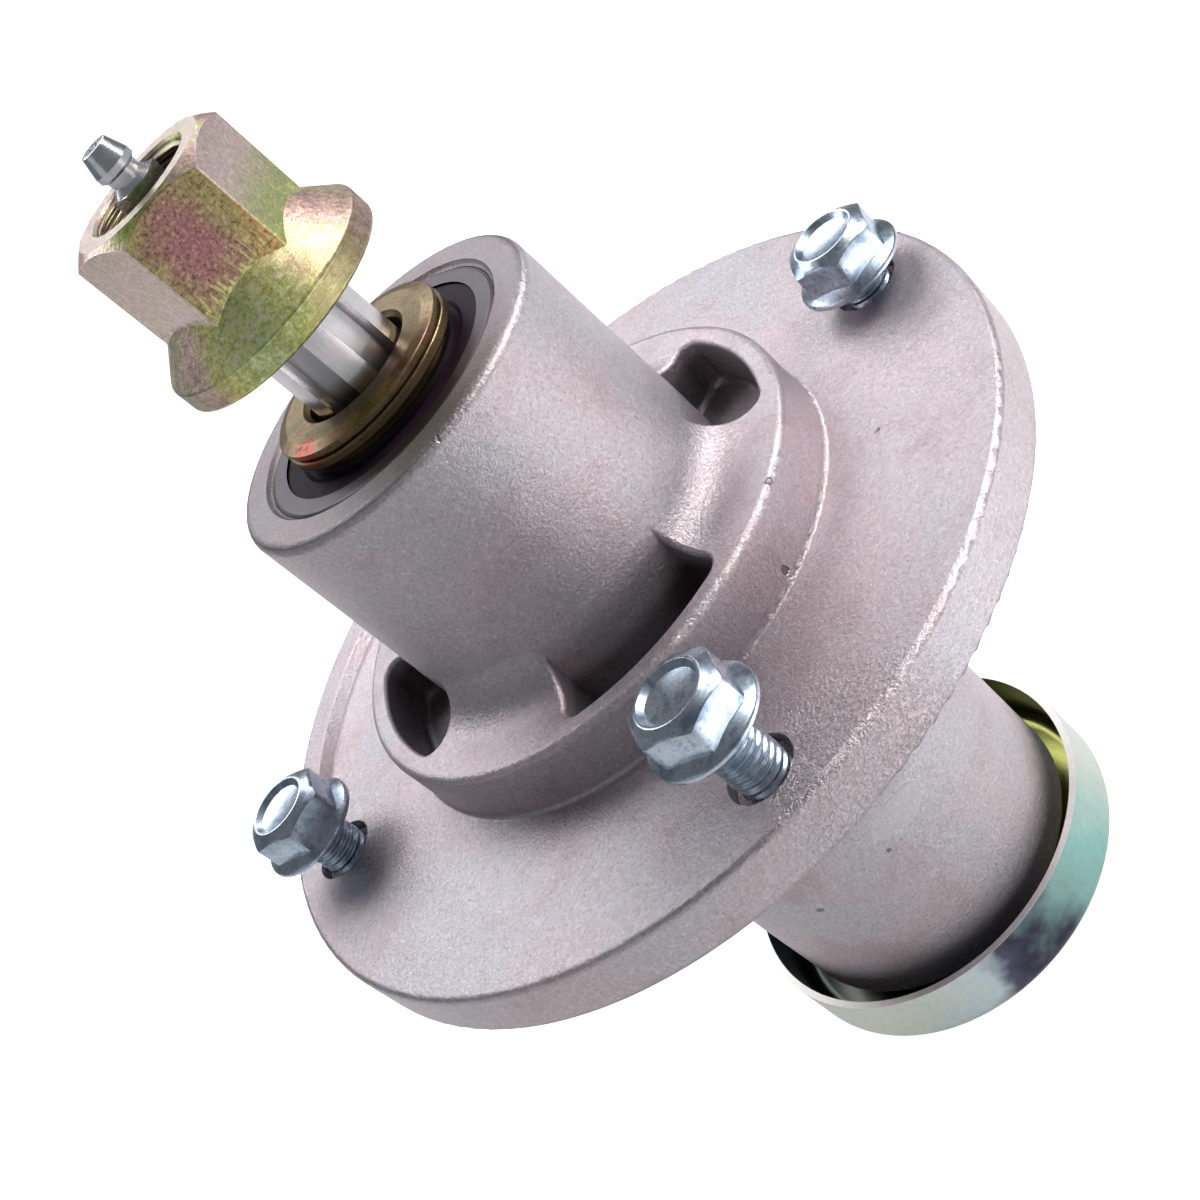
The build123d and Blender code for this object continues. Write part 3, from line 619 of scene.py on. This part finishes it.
def shaft_steel():
    """Rings on the turned lengths and lines along the axis on the splines, whose
    grooves are darkened as painted shade, as is the end face."""
    material, tree, place = start("shaft_steel")
    x, y, z = parts_of(place)
    radius = radius_of(x, y)
    splined = step(z, SPLINE_LOW, SPLINE_LOW + 0.2) * (1 - step(z, SPLINE_HIGH - 0.2, SPLINE_HIGH))
    # Painted shade in the grooves between the teeth.
    groove_shade = splined * (1 - step(radius, SPLINE_ROOT_R + 0.2, SPLINE_CREST_R - 0.3))
    rings = noise(vector(radius, z, 0.0), 3.5, 3.0, 0.6)
    lines = noise(vector(x * 5.0, y * 5.0, z * 0.25), 1.0, 3.0, 0.6)
    marks = mix_value(splined, rings, lines)
    cloud = noise(place, 0.16, 3.0, 0.6)
    colour = mix(step(cloud, 0.38, 0.62), SHAFT_GREY, SHAFT_PINK)
    # Painted shade on the end face, down in the nut's bore.
    end_shade = step(z, SHAFT_END - 0.2, SHAFT_END)
    colour = shade(colour, (0.82 + 0.36 * marks) * (1 - 0.40 * groove_shade) * (1 - 0.6 * end_shade))
    finish(tree, colour, 0.17 + 0.12 * marks + 0.10 * groove_shade, 1.0, bump(marks, 0.012))
    return material


dress(shaft_steel(), "spindle_shaft")


# %% [markdown]
# ## Zinc plate
# Zinc is passivated in a bath that leaves a film thinner than a wavelength of
# light. Where it is thick it looks golden, where it is thin pink, green or blue,
# so one part shows several hues that drift over it and gather at edges. A colour
# ramp over slow noise gives the drift, and each part has a ramp of its own.

# %% The passivated film
def film(place, per_mm, stops, speckle=0.25):
    """The film's colour: slow noise with some fine noise in it, turned into hues by
    the stops of a ramp."""
    cloud = noise(place, per_mm, 3.0, 0.55, 0.6)
    fine = noise(place, 1.3, 3.0, 0.7)
    value = cloud * (1 - speckle) + fine * speckle
    return value.add("ShaderNodeValToRGB", {"stops": stops}, {0: value})


def specks(place, per_mm, low, high):
    """Small spots, 1 inside."""
    return step(noise(place, per_mm, 2.0, 0.5), low, high)


print("zinc film: slow noise, fine noise and a ramp of hues")

# %% [markdown]
# ## The stepped washer
# The washer's film is dark gold with brown and olive clouds, and one spot at its
# edge is bright red. Fine turning rings lie under the film, and they show best
# where a ring's brightness changes as well as its slope.

# %% The stepped washer
WASHER_HUES = (
    (0.34, (0.30, 0.29, 0.13)),
    (0.43, (0.46, 0.36, 0.17)),
    (0.50, (0.58, 0.43, 0.24)),
    (0.56, (0.50, 0.33, 0.20)),
    (0.63, (0.42, 0.22, 0.16)),
    (0.72, (0.30, 0.34, 0.16)),
)
WASHER_GOLD = (0.62, 0.46, 0.22, 1)
WASHER_BAND_TOP = 71.3
WASHER_RED = (0.85, 0.16, 0.12, 1)
WASHER_RED_SPOT = (-16.5, -8.0, 73.2)


def washer_zinc():
    """Golden plate over turning rings, red in one place, with a duller seat."""
    material, tree, place = start("washer_zinc")
    x, y, z = parts_of(place)
    radius = radius_of(x, y)
    rings = noise(vector(radius, z, 0.0), 3.2, 3.0, 0.6)
    colour = film(place, 0.11, WASHER_HUES)
    band = 1 - step(z, WASHER_BAND_TOP - 0.3, WASHER_BAND_TOP)
    colour = mix(0.6 * band, colour, WASHER_GOLD)
    colour = mix(0.8 * near(place, WASHER_RED_SPOT, 1.6, 3.4), colour, WASHER_RED)
    spots = specks(place, 1.1, 0.60, 0.68)
    colour = shade(colour, (0.08 + 0.66 * rings) * (1 - 0.30 * spots))
    finish(tree, colour, 0.30 + 0.10 * rings + 0.10 * spots, 1.0, bump(rings, 0.015))
    return material


dress(washer_zinc(), "top_washer")

# %% [markdown]
# ## The tall nut
# Each flank of the nut met the bath and the wrench in its own way: one is
# speckled olive round a dark pink middle, one runs from pink to green and one is
# an even peach. The olive and pink one faces the front, and its hues are also darkened as a painted
# reflection of the dark surroundings there. A flank is a plane, so a mask of the distance along its normal
# picks it out, and the flare and rim below take a ramp of their own, whose hues are partly the film's and
# partly painted light.

# %% The nut's places and hues
NUT_FLAT_TURNS = {"near": -92.7, "right": -32.7, "left": -152.7}
NUT_HALF_FLATS = 14.0
NUT_FLARE_TOP = 100.6
NUT_FLARE_SUM = 114.4
NUT_RIM_RADIUS = 21.2
FLARE_GLINT_SPOT = (-6.0, -18.0, 97.0)
NUT_TOP = 117.6
NUT_BORE_R = 9.55
NUT_HUES = (
    (0.36, (0.40, 0.46, 0.13)),
    (0.43, (0.66, 0.66, 0.26)),
    (0.49, (0.80, 0.74, 0.46)),
    (0.55, (0.76, 0.56, 0.48)),
    (0.61, (0.70, 0.44, 0.46)),
    (0.70, (0.46, 0.58, 0.30)),
)
# The front flank's olive and maroon, darkened as a painted reflection.
NUT_SHADED_OLIVE = (0.50, 0.41, 0.18, 1)
NUT_SHADED_MAROON = (0.52, 0.22, 0.25, 1)
NUT_RUST = (0.74, 0.36, 0.16, 1)
NUT_PEACH = (0.80, 0.66, 0.58, 1)
NUT_PINK = (0.84, 0.66, 0.66, 1)
NUT_GREEN = (0.48, 0.54, 0.22, 1)
NUT_YELLOW = (0.80, 0.76, 0.30, 1)
NUT_SPECK = (0.66, 0.60, 0.32, 1)
NUT_DARK_SPECK = (0.16, 0.11, 0.06, 1)
NUT_MINT = (0.86, 1.0, 0.84, 1)
NUT_PALE = (0.58, 0.50, 0.47, 1)
# The flare's hues round the axis: film colours, lightened towards the front and darkened on the right as
# painted light.
FLARE_HUES_AND_LIGHT = (
    (0.04, (0.56, 0.50, 0.36)),
    (0.09, (0.84, 0.60, 0.56)),
    (0.14, (0.90, 0.92, 0.26)),
    (0.19, (0.82, 0.96, 0.40)),
    (0.25, (0.86, 0.90, 0.28)),
    (0.31, (0.66, 0.54, 0.30)),
    (0.36, (0.46, 0.40, 0.20)),
    (0.40, (0.50, 0.33, 0.29)),
    (0.46, (0.62, 0.45, 0.41)),
    (0.60, (0.60, 0.60, 0.32)),
    (0.80, (0.74, 0.62, 0.46)),
)
print("flanks with a colour of their own:", len(NUT_FLAT_TURNS))

# %% [markdown]
# ### The masks of the flats
# On a flat of the hexagon the distance outwards is half the width across flats, to
# a tenth of a millimetre, and nowhere else on the nut but for a thin line on the
# flare. The flare leans by 45 degrees, so radius plus height is one number on it,
# and the mask keeps only what lies beyond that number.

# %% The masks of the flats
def flank(x, y, z, direction):
    """1 on one flat of the nut, and the place across it, from the axis."""
    cos, sin = math.cos(math.radians(direction)), math.sin(math.radians(direction))
    outwards = x * cos + y * sin
    on_flat = step(outwards, NUT_HALF_FLATS - 0.25, NUT_HALF_FLATS - 0.1)
    on_flat = on_flat * (1 - step(outwards, NUT_HALF_FLATS + 0.03, NUT_HALF_FLATS + 0.1))
    above_flare = step(radius_of(x, y) + z, NUT_FLARE_SUM + 0.05, NUT_FLARE_SUM + 0.15)
    return on_flat * above_flare, y * cos - x * sin


def near_flat_film_and_shade(across, z, patch, fine, streaks):
    """Olive round a dark pink middle, darkened as a painted reflection, rust in the lower corner, fine light
    and dark specks, and a comb of yellow streaks that rises from the flare."""
    away = ((across + 1.5) * (across + 1.5) * 0.8 + (z - 108.5) * (z - 108.5) * 0.4) ** 0.5
    middle = 1 - step(away + 7 * (patch - 0.5) + 6 * (fine - 0.5), 2.0, 7.5)
    corner = step(across - 0.55 * (z - 101.0), 2.0, 6.5)
    comb = step(streaks, 0.50, 0.62) * (1 - step(z, NUT_FLARE_TOP, NUT_FLARE_TOP + 6))
    colour = mix(middle, NUT_SHADED_OLIVE, NUT_SHADED_MAROON)
    colour = mix(0.7 * corner, colour, NUT_RUST)
    colour = mix(0.5 * step(fine, 0.55, 0.66), colour, NUT_SPECK)
    colour = mix(0.6 * (1 - step(fine, 0.38, 0.46)), colour, NUT_DARK_SPECK)
    return mix(comb, colour, NUT_YELLOW)


def right_flat_colour(z, patch, fine):
    """Green at the flare that turns pink towards the top, with yellow specks."""
    colour = mix(step(z + 8 * (patch - 0.5), 102.0, 112.0), NUT_GREEN, NUT_PINK)
    return mix(0.35 * step(fine, 0.55, 0.66), colour, NUT_YELLOW)


print("flare and height add up to", NUT_FLARE_SUM, "mm")

# %% [markdown]
# ### The nut's finish
# The parts come together here: a general film, the flare's own ramp over the
# direction from the axis, whose hues are lightened towards the front and darkened on the right as painted
# light, with a mint painted highlight where the light strikes it, then the three flats, the pale top and the
# bore, darkened as painted shade. Fine noise makes all of it sparkle.

# %% The nut's finish
def nut_zinc():
    """Iridescent plate, flank by flank, streaked along the nut's height, with painted light on the flare and
    the front flank and painted shade in the bore.
    """
    material, tree, place = start("nut_zinc")
    x, y, z = parts_of(place)
    radius = radius_of(x, y)
    rings = noise(vector(radius, z, 0.0), 2.6, 3.0, 0.6)
    streaks = noise(vector(x * 2.2, y * 2.2, z * 0.35), 0.9, 3.0, 0.6)
    patch = noise(place, 0.16, 3.0, 0.6)
    fine = noise(place, 1.5, 3.0, 0.75)
    blotch = noise(place, 0.5, 3.0, 0.65)

    colour = film(place, 0.10, NUT_HUES, 0.35)
    flare = 1 - step(z, NUT_FLARE_TOP, NUT_FLARE_TOP + 0.5)
    where = angle_of(x, y) + 0.5 + 0.10 * (patch - 0.5) + 0.10 * (fine - 0.5)
    # The flare's ramp: partly the film's hues, partly painted light.
    colour = mix(0.85 * flare, colour, where.add("ShaderNodeValToRGB", {"stops": FLARE_HUES_AND_LIGHT}, {0: where}))
    # A painted highlight: a mint glint on the flare.
    glint = flare * step(fine, 0.52, 0.62) * near(place, FLARE_GLINT_SPOT, 4.0, 9.0)
    colour = mix(0.75 * glint, colour, NUT_MINT)

    # The front flank: film hues darkened as a painted reflection.
    face, across = flank(x, y, z, NUT_FLAT_TURNS["near"])
    colour = mix(0.95 * face, colour, near_flat_film_and_shade(across, z, patch, fine, streaks))
    face = flank(x, y, z, NUT_FLAT_TURNS["right"])[0]
    colour = mix(0.9 * face, colour, right_flat_colour(z, patch, fine))
    face = flank(x, y, z, NUT_FLAT_TURNS["left"])[0]
    colour = mix(0.9 * face, colour, mix(step(patch, 0.4, 0.7), NUT_PEACH, NUT_PINK))
    colour = mix(0.8 * step(z, NUT_TOP - 0.1, NUT_TOP - 0.02), colour, NUT_PALE)

    marks = mix_value(flare, streaks, rings)
    # Painted shade in the bore.
    bore_shade = 1 - step(radius, NUT_BORE_R + 0.1, NUT_BORE_R + 0.3)
    rim = 1 - step(radius, NUT_RIM_RADIUS - 0.15, NUT_RIM_RADIUS)
    light = mix_value(flare, 0.36 + 1.30 * fine, (0.12 + 1.80 * fine) * (0.35 + 1.35 * blotch))
    light = light * (0.80 + 0.40 * marks) * (1 - 0.65 * bore_shade) * (0.62 + 0.38 * rim)
    rough = 0.24 + 0.14 * fine + 0.12 * flare
    finish(tree, shade(colour, light), rough, 1.0, bump(0.6 * marks + 0.8 * fine, 0.07))
    return material


NUT_FINISH = nut_zinc()
dress(NUT_FINISH, "top_nut")

# %% [markdown]
# ## Bolts and fitting
# Clear zinc is plain and bluish. It drifts between a few cold greys, and has small
# dull spots where it began to whiten. The bolts and the fitting share one
# function, with a ramp and a size of pattern each.

# %% Bolts and fitting
BOLT_HUES = (
    (0.36, (0.28, 0.36, 0.46)),
    (0.45, (0.46, 0.56, 0.68)),
    (0.53, (0.60, 0.68, 0.78)),
    (0.61, (0.34, 0.41, 0.54)),
    (0.70, (0.42, 0.50, 0.48)),
)
FITTING_HUES = (
    (0.34, (0.60, 0.64, 0.72)),
    (0.50, (0.82, 0.84, 0.88)),
    (0.62, (0.84, 0.78, 0.79)),
    (0.72, (0.70, 0.73, 0.80)),
)


def plated(name, per_mm, hues, rough, rings_per_mm, depth, dull=0.0):
    """Plain zinc plate: drifting hues, faint rings and a few dull spots."""
    material, tree, place = start(name)
    x, y, z = parts_of(place)
    rings = noise(vector(radius_of(x, y), z, 0.0), rings_per_mm, 3.0, 0.6)
    soft = noise(place, 0.8, 3.0, 0.6)
    spots = specks(place, 1.4, 0.60, 0.70)
    colour = shade(film(place, per_mm, hues), (0.84 + 0.18 * rings + 0.14 * soft) * (1 - dull * spots))
    finish(tree, colour, rough + 0.10 * soft + 0.10 * spots, 1.0, bump(0.5 * rings + 0.5 * soft, depth))
    return material


BOLT_FINISH = plated("bolt_zinc", 0.16, BOLT_HUES, 0.23, 1.0, 0.018, 0.25)
dress(BOLT_FINISH, "deck_bolts")
dress(plated("fitting_zinc", 0.4, FITTING_HUES, 0.16, 4.0, 0.010), "grease_fitting_body")

# %% [markdown]
# ## The dust cup
# The cup's film changes round the wall: pale green, pale blue, a dark stretch and teal. The greens, blues and
# teal are partly the film's tint and partly painted reflection, and the dark stretch is a painted reflection.
# The hue follows the direction from the axis, a ramp over the angle, and a little noise frays the borders.
# Inside, the floor is painted yellow-green as a painted reflection, the wall is darkened as painted shade,
# and the cut edge is painted pale as a painted highlight.

# %% The cup
# Film tints and painted reflections round the wall; the two dark stops are a painted reflection.
CUP_HUES_AND_REFLECTION = (
    (0.02, (0.62, 0.64, 0.55)),
    (0.12, (0.74, 0.78, 0.68)),
    (0.20, (0.60, 0.72, 0.76)),
    (0.222, (0.10, 0.10, 0.16)),
    (0.248, (0.05, 0.05, 0.08)),
    (0.285, (0.28, 0.46, 0.44)),
    (0.34, (0.30, 0.56, 0.52)),
    (0.41, (0.60, 0.65, 0.60)),
    (0.62, (0.52, 0.58, 0.56)),
    (0.85, (0.42, 0.52, 0.54)),
)
CUP_RIM = -83.5
CUP_INNER_R = 38.0
CUP_FLOOR = -97.9
# Painted reflection on the floor inside, painted shade on the inner wall, painted highlight on the cut edge.
CUP_FLOOR_REFLECTION = (0.40, 0.42, 0.12, 1)
CUP_SHADE = (0.06, 0.065, 0.06, 1)
CUP_EDGE_HIGHLIGHT = (0.88, 0.85, 0.83, 1)


def cup_zinc():
    """Hues round the wall, partly painted reflection, a cut edge painted pale as a highlight, an inside
    darkened as painted shade and a floor on the right painted green as a reflection."""
    material, tree, place = start("cup_zinc")
    x, y, z = parts_of(place)
    radius = radius_of(x, y)
    cloud = noise(place, 0.07, 3.0, 0.6)
    soft = noise(place, 0.7, 3.0, 0.65)
    where = angle_of(x, y) + 0.5 + 0.10 * (cloud - 0.5)
    colour = where.add("ShaderNodeValToRGB", {"stops": CUP_HUES_AND_REFLECTION}, {0: where})
    # Painted shade inside the cup.
    inside = 1 - step(radius, CUP_INNER_R - 0.1, CUP_INNER_R + 0.1)
    inside = inside * step(z, CUP_FLOOR - 0.5, CUP_FLOOR - 0.2)
    # Painted reflection on the floor inside, on its right.
    floor = inside * (1 - step(z, CUP_FLOOR + 1, CUP_FLOOR + 3)) * step(x, 8.0, 22.0)
    # Painted highlight on the cut edge at the rim.
    rim = step(z, CUP_RIM - 0.15, CUP_RIM - 0.02)
    colour = mix(0.95 * inside, colour, CUP_SHADE)
    colour = mix(0.9 * floor, colour, CUP_FLOOR_REFLECTION)
    colour = mix(0.9 * rim, colour, CUP_EDGE_HIGHLIGHT)
    colour = shade(colour, 0.84 + 0.32 * soft)
    finish(tree, colour, 0.24 + 0.12 * soft + 0.2 * rim, 1.0, bump(soft, 0.03))
    return material


dress(cup_zinc(), "dust_cup")
print("hues round the cup:", len(CUP_HUES_AND_REFLECTION))


# %% [markdown]
# ## Surfaces on a grid
# The thread of a bolt is a surface of two parameters: the way round and the way
# along. Every row of the grid is a closed ring of points, and numpy works out
# all of them at once. The same holds for the head, whose radius changes with the
# direction, so one grid runs over the whole bolt from tip to dish.

# %% From a grid to a piece
def skin(name, grid, finish_used, body, sharp):
    """Quads between the rows of a grid of points in millimetres, (rows, columns,
    3), whose columns close round. Doubles merge, so rows of radius 0 are poles.
    Edges sharper than so many degrees stay sharp."""
    rows, columns = grid.shape[:2]
    i, j = np.meshgrid(np.arange(rows - 1), np.arange(columns), indexing="ij")
    k = (j + 1) % columns
    quads = np.stack([i * columns + j, i * columns + k, (i + 1) * columns + k, (i + 1) * columns + j], -1)
    mesh = bpy.data.meshes.new(name)
    mesh.from_pydata((grid.reshape(-1, 3) * MM).tolist(), [], quads.reshape(-1, 4).tolist())
    work = bmesh.new()
    work.from_mesh(mesh)
    bmesh.ops.remove_doubles(work, verts=work.verts, dist=1e-7)
    bmesh.ops.dissolve_degenerate(work, edges=work.edges, dist=1e-8)
    work.to_mesh(mesh)
    work.free()
    mesh.shade_smooth()
    mesh.set_sharp_from_angle(angle=math.radians(sharp))
    mesh.materials.append(finish_used)
    piece = bpy.data.objects.new(name, mesh)
    bpy.context.scene.collection.objects.link(piece)
    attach(piece, body)
    print(name, "has", len(mesh.polygons), "faces")
    return piece


def ring(radius, height, angles):
    """One closed row: radius and height, single or one for each direction."""
    radius, height = np.broadcast_to(radius, angles.shape), np.broadcast_to(height, angles.shape)
    return np.stack([radius * np.cos(angles), radius * np.sin(angles), height], -1)


print("a row of", ring(1.0, 0.0, np.zeros(72)).shape)

# %% [markdown]
# ## The deck bolts
# Flange bolts stand loosely in their holes at four heights. Their threads show
# between head and flange, so they are cut for real: the radius falls from crest
# to root and back once in every pitch, and the start of the wave turns with the
# direction, which makes it a helix.

# %% The bolts' sizes
BOLT_CIRCLE_R = 70.5
BOLTS = ((-3.2, 4.6, 34.0), (83.8, 8.0, 10.0), (171.3, 8.1, 50.0), (263.8, 12.8, -13.0))
BOLT_LENGTH = 25.4
BOLT_CREST_R = 4.7
BOLT_ROOT_R = 4.08
BOLT_PITCH = 1.5875
BOLT_HALF_FLATS = 7.8
BOLT_FLANGE_R = 10.25
BOLT_COLUMNS = 72
ROWS_IN_A_PITCH = 10
HEAD_SHARP = 34.0
THREAD_SHARP = 60.0


def wave(z, angles, pitch):
    """A thread's height, 0 in the root and 1 on the crest: a triangle wave in
    z / pitch - angle / turn, cut flat at both ends."""
    phase = (z / pitch - angles / (2 * np.pi)) % 1.0
    return np.clip(1.45 * (1 - np.abs(2 * phase - 1)) - 0.22, 0, 1)


print("thread:", BOLT_PITCH, "mm pitch,", 2 * BOLT_CREST_R, "mm over the crests")

# %% [markdown]
# A bolt is a stack of rings. Most of them are circles, but in the head the radius
# follows a hexagon, and the chamfer falls with the distance from the axis, which
# gives the arcs under the corners.

# %% Head and shank
def hexagon_radius(angles, turn, half_flats, blunt):
    """The radius of a hexagon in each direction: half the flats over the cosine of
    the angle from the nearest flat, no further than a slightly blunted corner."""
    away = (angles - turn + np.pi / 6) % (np.pi / 3) - np.pi / 6
    return np.minimum(half_flats / np.cos(away), half_flats * 2 / np.sqrt(3) - blunt)


def bolt_head(base, turn):
    """Rows over the washer, the hexagon with its chamfer, the shoulder and the dish."""
    a = np.radians(turn + 30) + np.linspace(0, 2 * np.pi, BOLT_COLUMNS, endpoint=False)
    hexagon = hexagon_radius(a, np.radians(turn), BOLT_HALF_FLATS, 0.16)
    slope = 1.0 / (BOLT_FLANGE_R - BOLT_HALF_FLATS)
    foot = base + 1.1 + (BOLT_FLANGE_R - hexagon) * slope
    top = base + 8.6
    shoulder = top - 0.7
    corner = shoulder - (hexagon - 7.1) * np.tan(np.radians(30))
    rows = [ring(BOLT_CREST_R - 0.9, base + 0.02, a), ring(BOLT_FLANGE_R - 0.25, base, a)]
    rows += [ring(BOLT_FLANGE_R, base + 0.25, a), ring(BOLT_FLANGE_R, base + 0.8, a)]
    rows += [ring(BOLT_FLANGE_R - 0.12, base + 1.02, a), ring(BOLT_FLANGE_R - 0.4, base + 1.27, a)]
    rows += [ring(hexagon + 0.12, foot - 0.02, a), ring(hexagon, foot + 0.14, a)]
    rows += [ring(hexagon, corner - 0.10, a), ring(hexagon - 0.06, corner + 0.02, a)]
    rows += [ring(7.16, shoulder - 0.03, a), ring(7.04, shoulder + 0.03, a)]
    rows += [ring(6.26, top - 0.06, a), ring(6.14, top, a), ring(5.76, top, a), ring(5.66, top - 0.05, a)]
    rows += [ring(4.86, top - 0.95, a), ring(4.74, top - 1.0, a), ring(0.0, top - 1.0, a)]
    return np.array(rows)


def bolt_shank(base):
    """Rows up the threaded shank, which tapers to its tip and ends below the head."""
    a = np.linspace(0, 2 * np.pi, BOLT_COLUMNS, endpoint=False)
    tip = base - BOLT_LENGTH
    z = np.arange(tip, base, BOLT_PITCH / ROWS_IN_A_PITCH)
    z, angles = np.meshgrid(np.append(z, base + 0.05), a, indexing="ij")
    height = wave(z, angles, BOLT_PITCH) * np.clip((base - 0.9 - z) / 1.2, 0, 1)
    radius = BOLT_ROOT_R + (BOLT_CREST_R - BOLT_ROOT_R) * height
    radius = np.minimum(radius, BOLT_CREST_R - 1.2 + (z - tip))
    body = np.stack([radius * np.cos(angles), radius * np.sin(angles), z], -1)
    return np.concatenate([ring(0.0, tip, a)[None], body])


def stand(grid, direction):
    """A grid moved out to its place on the bolt circle."""
    turn = math.radians(direction)
    return grid + np.array([BOLT_CIRCLE_R * math.cos(turn), BOLT_CIRCLE_R * math.sin(turn), 0.0])


print("rings in a head:", len(bolt_head(0.0, 0.0)), "in a shank:", len(bolt_shank(0.0)))

# %% [markdown]
# The four bolts share the two shapes. Each stands at its own direction on the bolt
# circle, at its own height above the flange and with its hexagon turned its own way.

# %% The bolts
for number, (direction, standoff, turn) in enumerate(BOLTS, 1):
    base = FLANGE_TOP + standoff
    grids = {"head": (bolt_head(base, turn), HEAD_SHARP), "shank": (bolt_shank(base), THREAD_SHARP)}
    for part, (grid, sharp) in grids.items():
        name = "bolt_%s_%d" % (part, number)
        piece = skin(name, stand(grid, direction), BOLT_FINISH, "root", sharp)
        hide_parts("deck_bolts")

# %% [markdown]
# ## The check ball's spring
# Inside the grease fitting a coil of thin wire holds the check ball on its seat.
# It gets shorter when the ball goes in, which a stiff piece can't do. The same
# coil is made here as a tube round a helix, with a mesh of its own.

# %% The spring
SPRING_COIL_R = 1.0
SPRING_WIRE_R = 0.15
SPRING_TURNS = 5


def spring_coil(low, high):
    """A circle carried along a helix: the middle of the wire is at the coil's
    radius and climbs evenly, and the circle spans the outward and the upward
    direction. Both ends close in a point."""
    turn, side = np.meshgrid(np.linspace(0, 2 * np.pi * SPRING_TURNS, 24 * SPRING_TURNS),
                             np.linspace(0, 2 * np.pi, 10, endpoint=False), indexing="ij")
    wire = np.full_like(turn, SPRING_WIRE_R)
    wire[[0, -1]] = 0.0
    radius = SPRING_COIL_R + wire * np.cos(side)
    climb = np.linspace(low + SPRING_WIRE_R, high - SPRING_WIRE_R, len(turn))[:, None]
    return np.stack([radius * np.cos(turn), radius * np.sin(turn), climb - wire * np.sin(side)], -1)


spring_low, spring_high = [corner[2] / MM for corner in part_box("grease_fitting_spring")]
spring_grid = spring_coil(spring_low, spring_high)
spring = skin("grease_fitting_coil", spring_grid, SPRING_FINISH, "spindle", THREAD_SHARP)
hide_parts("grease_fitting_spring")
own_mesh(spring)

# %% [markdown]
# ## The nut's thread
# Above the shaft's end the nut's bore stands open and shows the last turns of
# its thread. They are a narrow ridge that winds up the bore, made as the same
# wave but pointing inwards.

# %% The nut's thread
NUT_THREAD_DEPTH = 0.85
NUT_PITCH = 1.5
NUT_THREAD_LOW = 112.2
NUT_THREAD_HIGH = 116.9


def nut_thread():
    """A closed tube of which the inner wall is the thread's wave. The outer wall
    lies in the nut."""
    a = np.linspace(0, 2 * np.pi, 96, endpoint=False)
    z = np.linspace(NUT_THREAD_LOW, NUT_THREAD_HIGH, 44)
    z, angles = np.meshgrid(z, a, indexing="ij")
    fade = np.clip((z - NUT_THREAD_LOW) / 0.4, 0, 1) * np.clip((NUT_THREAD_HIGH - z) / 0.5, 0, 1)
    radius = NUT_BORE_R - 0.02 - NUT_THREAD_DEPTH * wave(z, angles, NUT_PITCH) * fade
    inner = np.stack([radius * np.cos(angles), radius * np.sin(angles), z], -1)[::-1]
    low, high = ring(NUT_BORE_R + 0.3, NUT_THREAD_LOW, a), ring(NUT_BORE_R + 0.3, NUT_THREAD_HIGH, a)
    return np.concatenate([low[None], high[None], inner, low[None]])


skin("nut_thread", nut_thread(), NUT_FINISH, "spindle", THREAD_SHARP)
